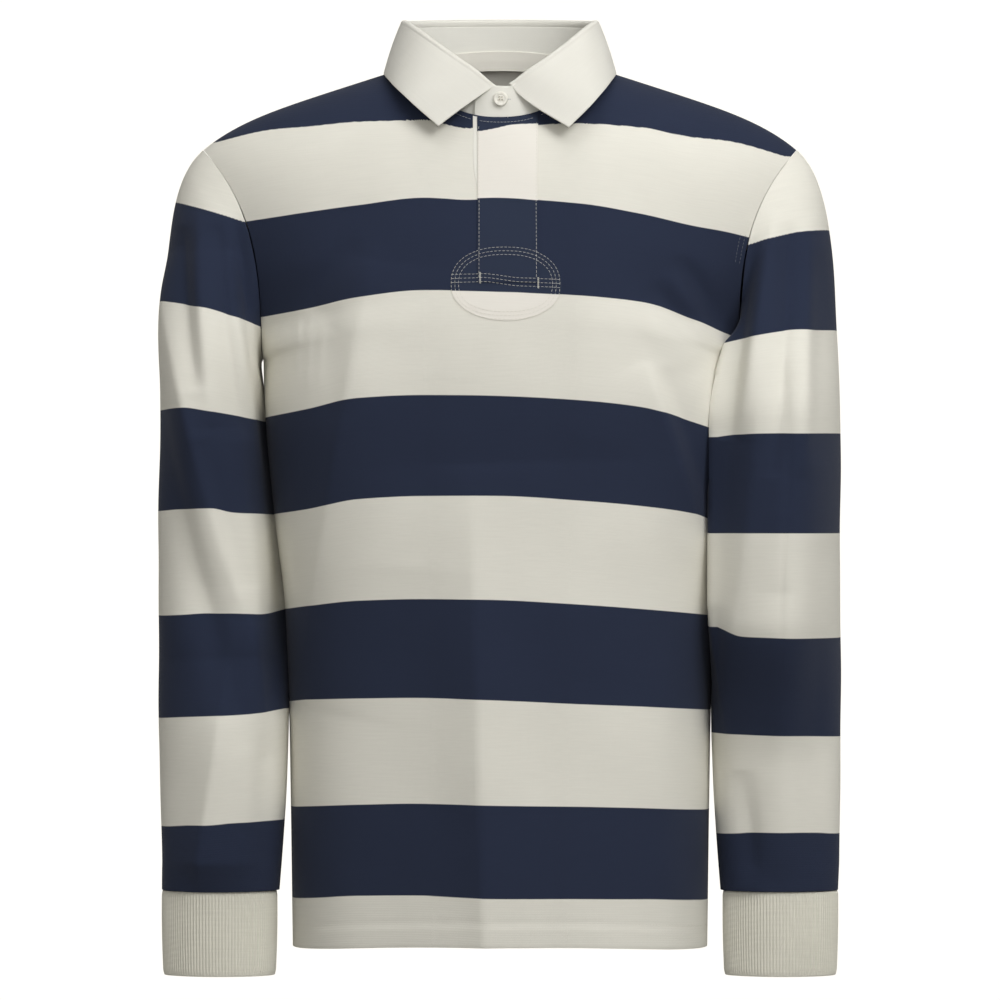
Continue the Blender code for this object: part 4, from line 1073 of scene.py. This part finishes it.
def on_panel(side, across, level, table, step=0.004):
    """A panel's inner face and outward direction at a place on it, from two short steps over it."""
    here = body(side, across, level, table)
    right = body(side, across + step, level, table)
    below = body(side, across, level + step, table)
    return here, unit(np.cross(right - here, here - below)) * -side


def on_front(x, z):
    """The front panel's inner face and outward direction at a place seen from the front, found by
    stepping down the panel near its middle."""
    level = np.linspace(0, 1.4, 281)
    nearby = body(-1, np.array((-0.1, 0.0, 0.1))[None, :], level[:, None], FRONT_FOLDS)
    width = (nearby[:, 2, 0] - nearby[:, 0, 0]) / 0.2
    at = np.interp(-z, -nearby[:, 1, 2], level)
    across = x / np.interp(at, level, width)
    return on_panel(-1, across, at, FRONT_FOLDS)


def strip(left, right, z0, z1, away):
    """Points over the front panel between two sides and two heights, moved out of it by a distance. The
    left side may be a function of the height."""
    columns_across = int((right - STRIP_LEFT) / STRIP_STEP)
    rows_down = int((z0 - z1) / STRIP_STEP)
    share, z = np.meshgrid(np.linspace(0, 1, columns_across), np.linspace(z0, z1, rows_down))
    x0 = left(z) if callable(left) else left
    here, out = on_front(x0 + (right - x0) * share, z)
    return here + out * away


def under_edge(z):
    """The lower strip's left edge: it peeks out at the top and slips under the upper strip further down."""
    peek = (UNDER_PEEK + UNDER_TUCK) * (1 - soft_step(-z, -UNDER_HIDDEN[0], -UNDER_HIDDEN[1]))
    return STRIP_LEFT + UNDER_TUCK - peek


def oval(half_width, half_height, away, steps):
    """Points over the front panel in an oval: a square grid is rounded by shortening each side's points
    by the root of one less half the square of the other's."""
    a, b = np.meshgrid(np.linspace(-1, 1, steps), np.linspace(1, -1, steps))
    here, out = on_front(
        PATCH_X + half_width * a * np.sqrt(1 - b * b / 2),
        PATCH_Z + half_height * b * np.sqrt(1 - a * a / 2),
    )
    return here + out * away


placket_twill = twill_finish("placket_twill", None)
under_grid = strip(under_edge, STRIP_RIGHT - 6, STRIP_TOP, UNDER_FOOT, ON_PANEL)
under = add_cloth("lower_strip", woven("lower_strip", under_grid), collar_twill, UNDER_WALL, "placket_under")
for name, grid, wall, cad_node, flat, held_on, area in (
    ("upper_strip", strip(STRIP_LEFT, STRIP_RIGHT, STRIP_TOP, STRIP_FOOT, ON_BOTH), STRIP_WALL, "placket_top",
     (0.047, 0.135), "lower_strip", None),
    ("oval_patch", oval(PATCH_HALF_WIDTH, PATCH_HALF_HEIGHT, ON_PANEL, 70), UNDER_WALL, "placket_patch",
     (0.084, 0.06), "front_panel", OVAL_SHARE * 0.084 * 0.06),
):
    stripes = stripe_count(PLACKET_PLACES, PLACKET_STRIPES, 1.0, grid[..., 0], grid[..., 2])
    made = add_cloth(name, woven(name, grid, stripes), placket_twill, wall, cad_node)


# ---------------------------------------------------------------- neck tape and facing
# Inside the back a twill tape covers the neck seam, and below it a half-moon of cream cloth faces the
# panel, so that neither chafes the neck.

TAPE = 1.0  # wall of the tape
TAPE_WIDTH = 16.2
TAPE_ABOVE = 7.6  # the tape starts this far above the neck seam
TAPE_OFF = 0.15  # its gap to the stand is this much wider than usual
TAPE_LEAN = 0.05  # below the seam it follows the slope of the back panel
FACING_HALF = 46.0
FACING_TOP = 0.012  # level on the back panel, just below the neck seam
FACING_DROP = 0.6  # from its ends to its lowest point, as a level on the back panel
FACING_ENDS = 0.12  # and from its top to its ends
FACING_WALL = 1.0
FACING_REST = 0.8  # gap between the facing and the panel
TAPE_CREAM = (0.79, 0.765, 0.69, 1.0)

neck_tape = twill_finish("neck_tape", TAPE_CREAM)
turns = np.linspace(math.radians(100), math.radians(260), 150)
fall = np.linspace(-TAPE_ABOVE, TAPE_WIDTH - TAPE_ABOVE, 22)[:, None]
below = np.clip(fall, 0, None)
inset = TWILL + STAND_INSET + REST + TAPE_OFF + TAPE - TAPE_LEAN * below
grid = neck(-turns[None, :], inset) - points(0, 0, fall)
tape = add_cloth("tape", woven("tape", grid[:, ::-1]), neck_tape, TAPE, "neck_tape")


def back_facing(sideways, share):
    """The half-moon on the back's inner face: across it runs from -1 to 1, and its depth falls to each
    side by a power of that. It is the panel's own face, moved in."""
    reach = FACING_DROP * (1 - np.abs(sideways) ** 2.4) + FACING_ENDS
    across = sideways * FACING_HALF / SHOULDER_HALF
    level = FACING_TOP + share * reach
    here, out = on_panel(1, across, level, BACK_FOLDS)
    return here - out * (FACING_REST + FACING_WALL)


grid = back_facing(np.linspace(-1, 1, 70)[None, :], np.linspace(0, 1, 50)[:, None])
facing = add_cloth("facing", woven("facing", grid[:, ::-1]), neck_tape, FACING_WALL, "neck_facing")


# ---------------------------------------------------------------- button
# A turned and polished button with a raised rim and four holes, sewn on with crossed thread through the
# buttoned end of the stand. It stands off the cloth on the thread.

BUTTON_RADIUS = 5.75
BUTTON_THICK = 2.4
BUTTON_ROUND = 0.8  # the rim is rounded over this much of the radius
BUTTON_DISH = 0.45  # the face is hollowed this far
BUTTON_HOLE = 0.8  # radius of a hole
BUTTON_HOLE_DEPTH = 1.6
BUTTON_HOLE_STEP = 1.5  # from the button's middle to a hole's
BUTTON_X = 0.4
BUTTON_TURN = 0.70  # how far up the stand the button sits
BUTTON_LIFT = TWILL + REST + BUTTON_THICK / 2 + 0.35  # its middle's distance from the stand's inner face
SHELL = (0.80, 0.775, 0.69, 1.0)


def button_place():
    """The button's centre, and its right, upward and outward directions, on the stand's buttoned end."""
    where = np.array((math.asin(-BUTTON_X / STAND_TOP_HALF),))
    lap = np.array((STAND_OVERLAP,))
    here = stand(where, np.array((BUTTON_TURN,)), lap)[0]
    above = stand(where, np.array((BUTTON_TURN + 0.1,)), lap)[0]
    up = unit(above - here)
    right = np.array((1.0, 0, 0))
    out = unit(np.cross(right, up))
    return here + out * BUTTON_LIFT, right, up, out


def button_surface():
    """A polar grid: over the face from the middle to the rim, round the rim's half circle, and back over
    the underside to the middle. The face is dished with a raised rim, and each hole is a pit in it,
    where the height falls by a soft step of the distance from the hole's middle."""
    turn = np.linspace(0, 2 * math.pi, 97)[None, :]
    face = np.linspace(0.02, BUTTON_RADIUS - BUTTON_ROUND, 44)[:, None]
    height = BUTTON_THICK / 2 - BUTTON_DISH * (1 - soft_step(face, 3.1, 4.1)) + 0 * turn
    for i in range(4):
        at = math.radians(45 + 90 * i)
        distance = np.hypot(
            face * np.cos(turn) - BUTTON_HOLE_STEP * math.cos(at),
            face * np.sin(turn) - BUTTON_HOLE_STEP * math.sin(at),
        )
        solid = soft_step(distance, BUTTON_HOLE - 0.22, BUTTON_HOLE + 0.08)
        height = height - BUTTON_HOLE_DEPTH * (1 - solid)
    rim = np.linspace(math.pi / 2, -math.pi / 2, 12)[1:-1, None]
    rim_radius = BUTTON_RADIUS - BUTTON_ROUND + BUTTON_ROUND * np.cos(rim)
    rim_height = BUTTON_THICK / 2 * np.sin(rim)
    radius = np.concatenate((face, rim_radius, face[::-1]))
    underside = -BUTTON_THICK / 2 + 0 * face + 0 * turn
    heights = np.concatenate((height, rim_height + 0 * turn, underside))
    return radius * np.cos(turn), radius * np.sin(turn), heights


button_centre, button_right, button_up, button_out = button_place()
across, along, raised = (part[..., None] for part in button_surface())
grid = button_centre + across * button_right + along * button_up + raised * button_out
button_mesh = woven("button_face", grid)
shell_finish = bpy.data.materials.new("button")
shell_finish.use_nodes = True
shell = shell_finish.node_tree
polished = shell.nodes["Principled BSDF"]
polished.inputs["Roughness"].default_value = 0.28
polished.inputs["Coat Weight"].default_value = 0.3
in_button = node(shell, "ShaderNodeTexCoord").outputs["Object"]
cloud = node(shell, "ShaderNodeTexNoise", {"Vector": in_button, "Scale": 260.0, "Detail": 3.0}).outputs["Fac"]
clouded = {"Value": ramp(shell, cloud, 0.3, 0.7, 0.93, 1.05), "Color": SHELL}
tint = node(shell, "ShaderNodeHueSaturation", clouded).outputs[0]
shell.links.new(tint, polished.inputs["Base Color"])
add_cloth("shell_button", button_mesh, shell_finish, 0, "button")


# ---------------------------------------------------------------- stitching
# Cotton thread in cream, off-white and a dull grey. Each row of topstitching is a line of short beads, half
# sunk in the cloth: down both edges of the placket, round and across its oval foot, below the collar, at the
# end of the buttonhole, for a short way down the right armhole and round the hem.

STITCH = 2.3  # length of a stitch
STITCH_GAP = 0.9
THREAD = 0.30  # its thickness
CLOSE = {"thick": 0.34, "long": 1.2, "gap": 0.1}  # the stitches of bar tacks and buttonholes
BEAD_RINGS = (-1.0, -0.78, 0.0, 0.78, 1.0)  # places of a stitch's rings along it
BEAD_BLUNT = 0.93  # 1 would bring its ends to a point
BEAD_FLAT = 0.8  # its height is this share of its width
BEAD_RISE = 0.2  # and its middle lies this far above the cloth
THREAD_COLOUR = (0.50, 0.50, 0.49, 1.0)
CREAM_THREAD = (0.74, 0.72, 0.64, 1.0)
DULL_THREAD = (0.26, 0.27, 0.30, 1.0)


def thread_finish(name, colour):
    """Cotton thread, with a bump of fine noise for its fuzz."""
    made, shader, tree = fabric(name, 0.7, 0.1)
    shader.inputs["Base Color"].default_value = colour
    place = node(tree, "ShaderNodeTexCoord").outputs["Object"]
    fuzz = node(tree, "ShaderNodeTexNoise", {"Vector": place, "Scale": 1400.0, "Detail": 1.0}).outputs["Fac"]
    emboss(tree, shader, fuzz, 0.0002, 0.4)
    return made


def read(line, far, at):
    """A line of points, whose distances along it are far, read at other distances."""
    return np.stack([np.interp(at, far, line[:, k]) for k in range(3)], axis=-1)


def offset(way, how):
    """Each stitch's own direction, times one distance for each point of a bead."""
    return way[:, None, None, :] * how[None, :, :, None]


def sew(name, runs, material, carrier, thick=THREAD, long=STITCH, gap=STITCH_GAP):
    """Joins all stitches of some runs in one mesh. A run is a line of points with outward directions. Each
    stitch is a bead: rings of six points whose radius follows the root of a parabola along it."""
    turn = np.linspace(0, 2 * math.pi, 7)[:-1]
    share = np.array(BEAD_RINGS)
    swell = np.sqrt(1 - BEAD_BLUNT * share**2)
    middles, forwards, outs = [], [], []
    for line, out in runs:
        far = np.concatenate(((0,), np.cumsum(np.linalg.norm(np.diff(line, axis=0), axis=-1))))
        at = np.arange(long / 2, far[-1] - long / 2, long + gap)
        middles.append(read(line, far, at))
        forwards.append(read(line, far, at + 0.4 * long) - read(line, far, at - 0.4 * long))
        outs.append(read(out, far, at))
    middle, forward, out = (np.concatenate(part) for part in (middles, forwards, outs))
    forward = unit(forward)
    beside = unit(np.cross(forward, out))
    out = np.cross(beside, forward)
    radius = thick / 2 * swell[:, None]
    beads = (
        middle[:, None, None, :]
        + offset(forward, share[:, None] * long / 2 + 0 * turn)
        + offset(beside, radius * np.cos(turn))
        + offset(out, radius * np.sin(turn) * BEAD_FLAT + BEAD_RISE)
    )
    rings, sides = len(share), len(turn)
    own = np.arange(rings * sides).reshape(rings, sides)
    following = np.roll(own, -1, axis=1)
    quads = np.stack((own[:-1], own[1:], following[1:], following[:-1]), axis=-1).reshape(-1, 4)
    start = (np.arange(len(middle)) * rings * sides)[:, None, None]
    faces = (start + quads).reshape(-1, 4).tolist()
    faces += (start[:, 0] + own[0][None, :]).tolist()
    faces += (start[:, 0] + own[-1][::-1][None, :]).tolist()
    mesh = bpy.data.meshes.new(name)
    mesh.from_pydata((beads.reshape(-1, 3) * MM).tolist(), [], faces)
    mesh.shade_smooth()
    mesh.materials.append(material)
    made = bpy.data.objects.new(name, mesh)
    bpy.context.scene.collection.objects.link(made)
    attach(made, "root")


def placket_run(x, z):
    """A line over the placket's pieces: the height above the panel steps up where the strip lies."""
    here, out = on_front(x, z)
    on_strip = soft_step(x, STRIP_LEFT - 0.7, STRIP_LEFT) * (1 - soft_step(x, STRIP_RIGHT, STRIP_RIGHT + 0.7))
    on_strip = on_strip * soft_step(z, STRIP_FOOT - 0.7, STRIP_FOOT)
    height = ON_PANEL + UNDER_WALL + on_strip * (ON_STRIP + STRIP_WALL)
    return here + out * height[..., None], out


def body_run(side, across, level, table):
    """A line over the outside of a panel."""
    here, out = on_panel(side, across, level, table, 0.002)
    return here + out * JERSEY, out


def level_below_top(side, across, distance, table):
    """The level on a panel at a distance below its upper edge, read from the length of each column."""
    level = np.linspace(0, 0.5, 60)[:, None]
    column = body(side, across[None, :], level, table)
    far = np.cumsum(np.linalg.norm(np.diff(column, axis=0), axis=-1), axis=0)
    return np.array([np.interp(distance, far[:, i], level[1:, 0]) for i in range(len(across))])


def squarer(part):
    """The sine or cosine of an oval that is squarer than an ellipse: its size raised to a power."""
    return np.sign(part) * np.abs(part) ** (2 / RING_SQUARE)


off_white = thread_finish("off_white_thread", THREAD_COLOUR)
cream_thread = thread_finish("cream_thread", CREAM_THREAD)
dull_thread = thread_finish("dull_thread", DULL_THREAD)

STITCH_INSET = 1.3  # the placket's rows run this far inside its edges
BAR_STEP = 3.1  # from one of the three rows across the oval to the next
BAR_HALF = 42.6
BAR_RISE = 7.2  # the topmost begins this far above the oval's middle
BAR_FALL = 3.2  # and each falls this far to the right
RING_X = 4.3  # middle of the three rings round the oval
RING_STEP = 2.9  # from one ring to the next
RING_HALF_WIDTH = 42.2  # of the outermost row
RING_HALF_HEIGHT = 27.9
RING_SQUARE = 2.4  # the rings are squarer than an ellipse, which has 2
placket_rows = []
down = np.linspace(STRIP_TOP - 8, STRIP_FOOT + 1.5, 140)
for x in (STRIP_LEFT + STITCH_INSET, STRIP_RIGHT - STITCH_INSET):
    placket_rows.append(placket_run(x + 0 * down, down))
along = np.linspace(-1, 1, 160)
for i in range(3):
    placket_rows.append(placket_run(
        RING_X + 0.5 + BAR_HALF * along,
        PATCH_Z + BAR_RISE - BAR_STEP * i - BAR_FALL * soft_step(along, -0.45, 0.3),
    ))
turn = np.linspace(0, 2 * math.pi, 260)
for i in range(3):
    placket_rows.append(placket_run(
        RING_X + (RING_HALF_WIDTH - RING_STEP * i) * squarer(np.cos(turn)),
        PATCH_Z + (RING_HALF_HEIGHT - RING_STEP * i) * squarer(np.sin(turn)),
    ))
sew("placket_stitching", placket_rows, cream_thread, "placket_twill")

TACK = 9.0  # length of the bar tacks at the two corners of the strip's foot
tacks = []
for x, top in ((-15.9, -170.2), (29.2, -173.6)):
    for step in (0.0, 0.45, 0.9):
        tacks.append(placket_run(x + step + np.zeros(12), np.linspace(top, top - TACK, 12)))
sew("bar_tacks", tacks, cream_thread, "placket_twill", **CLOSE)

NECK_ROW = 0.31  # the row below the collar ends here, as a share of the half width
NECK_ROW_BELOW = (4.6, 5.5)  # and runs this far below the seam, in front and behind
across_strip = np.linspace(STRIP_LEFT + 2, STRIP_RIGHT - 2, 60)
neck_rows = [placket_run(across_strip, STRIP_TOP - 3.4 + 0 * across_strip)]
beside_strip = (STRIP_LEFT / SHOULDER_HALF - 0.02, STRIP_RIGHT / SHOULDER_HALF + 0.01)
for side, below, table, across in (
    (-1, NECK_ROW_BELOW[0], FRONT_FOLDS, np.linspace(-NECK_ROW, beside_strip[0], 120)),
    (-1, NECK_ROW_BELOW[0], FRONT_FOLDS, np.linspace(beside_strip[1], NECK_ROW, 120)),
    (1, NECK_ROW_BELOW[1], BACK_FOLDS, np.linspace(-NECK_ROW, NECK_ROW, 200)),
):
    neck_rows.append(body_run(side, across, level_below_top(side, across, below, table), table))
sew("neck_stitching", neck_rows, off_white, "collar_twill", 0.3, 2.4, 0.3)

HOLE_REACH = (5.6, 9.0)  # the buttonhole's end shows between these distances from the button's middle
HOLE_HALF = 0.25
hole = button_centre + button_right * np.linspace(*HOLE_REACH, 12)[:, None]
hole = hole - button_out * (BUTTON_LIFT - TWILL + 0.25)
hole_rows = [(hole + button_up * side, button_out + 0 * hole) for side in (-HOLE_HALF, HOLE_HALF)]
sew("buttonhole", hole_rows, off_white, "collar_twill", **CLOSE)

hem_rows, arm_rows = [], []
hem_level = 2 - HEM / (BODY["z_mid"][0] - BODY["z_mid"][-1])
across = np.linspace(-0.995, 0.995, 400)
for side, table in ((-1, FRONT_FOLDS), (1, BACK_FOLDS)):
    hem_rows.append(body_run(side, across, hem_level + 0 * across, table))
levels = np.linspace(1.0, 1.045, 30)
for inset in (0.016, 0.034):
    arm_rows.append(body_run(-1, 1 - inset + 0 * levels, levels, FRONT_FOLDS))
sew("hem_stitching", hem_rows, cream_thread, "striped_jersey", 0.4)
sew("armhole_stitching", arm_rows, dull_thread, "striped_jersey", 0.28, 2.0, 1.0)
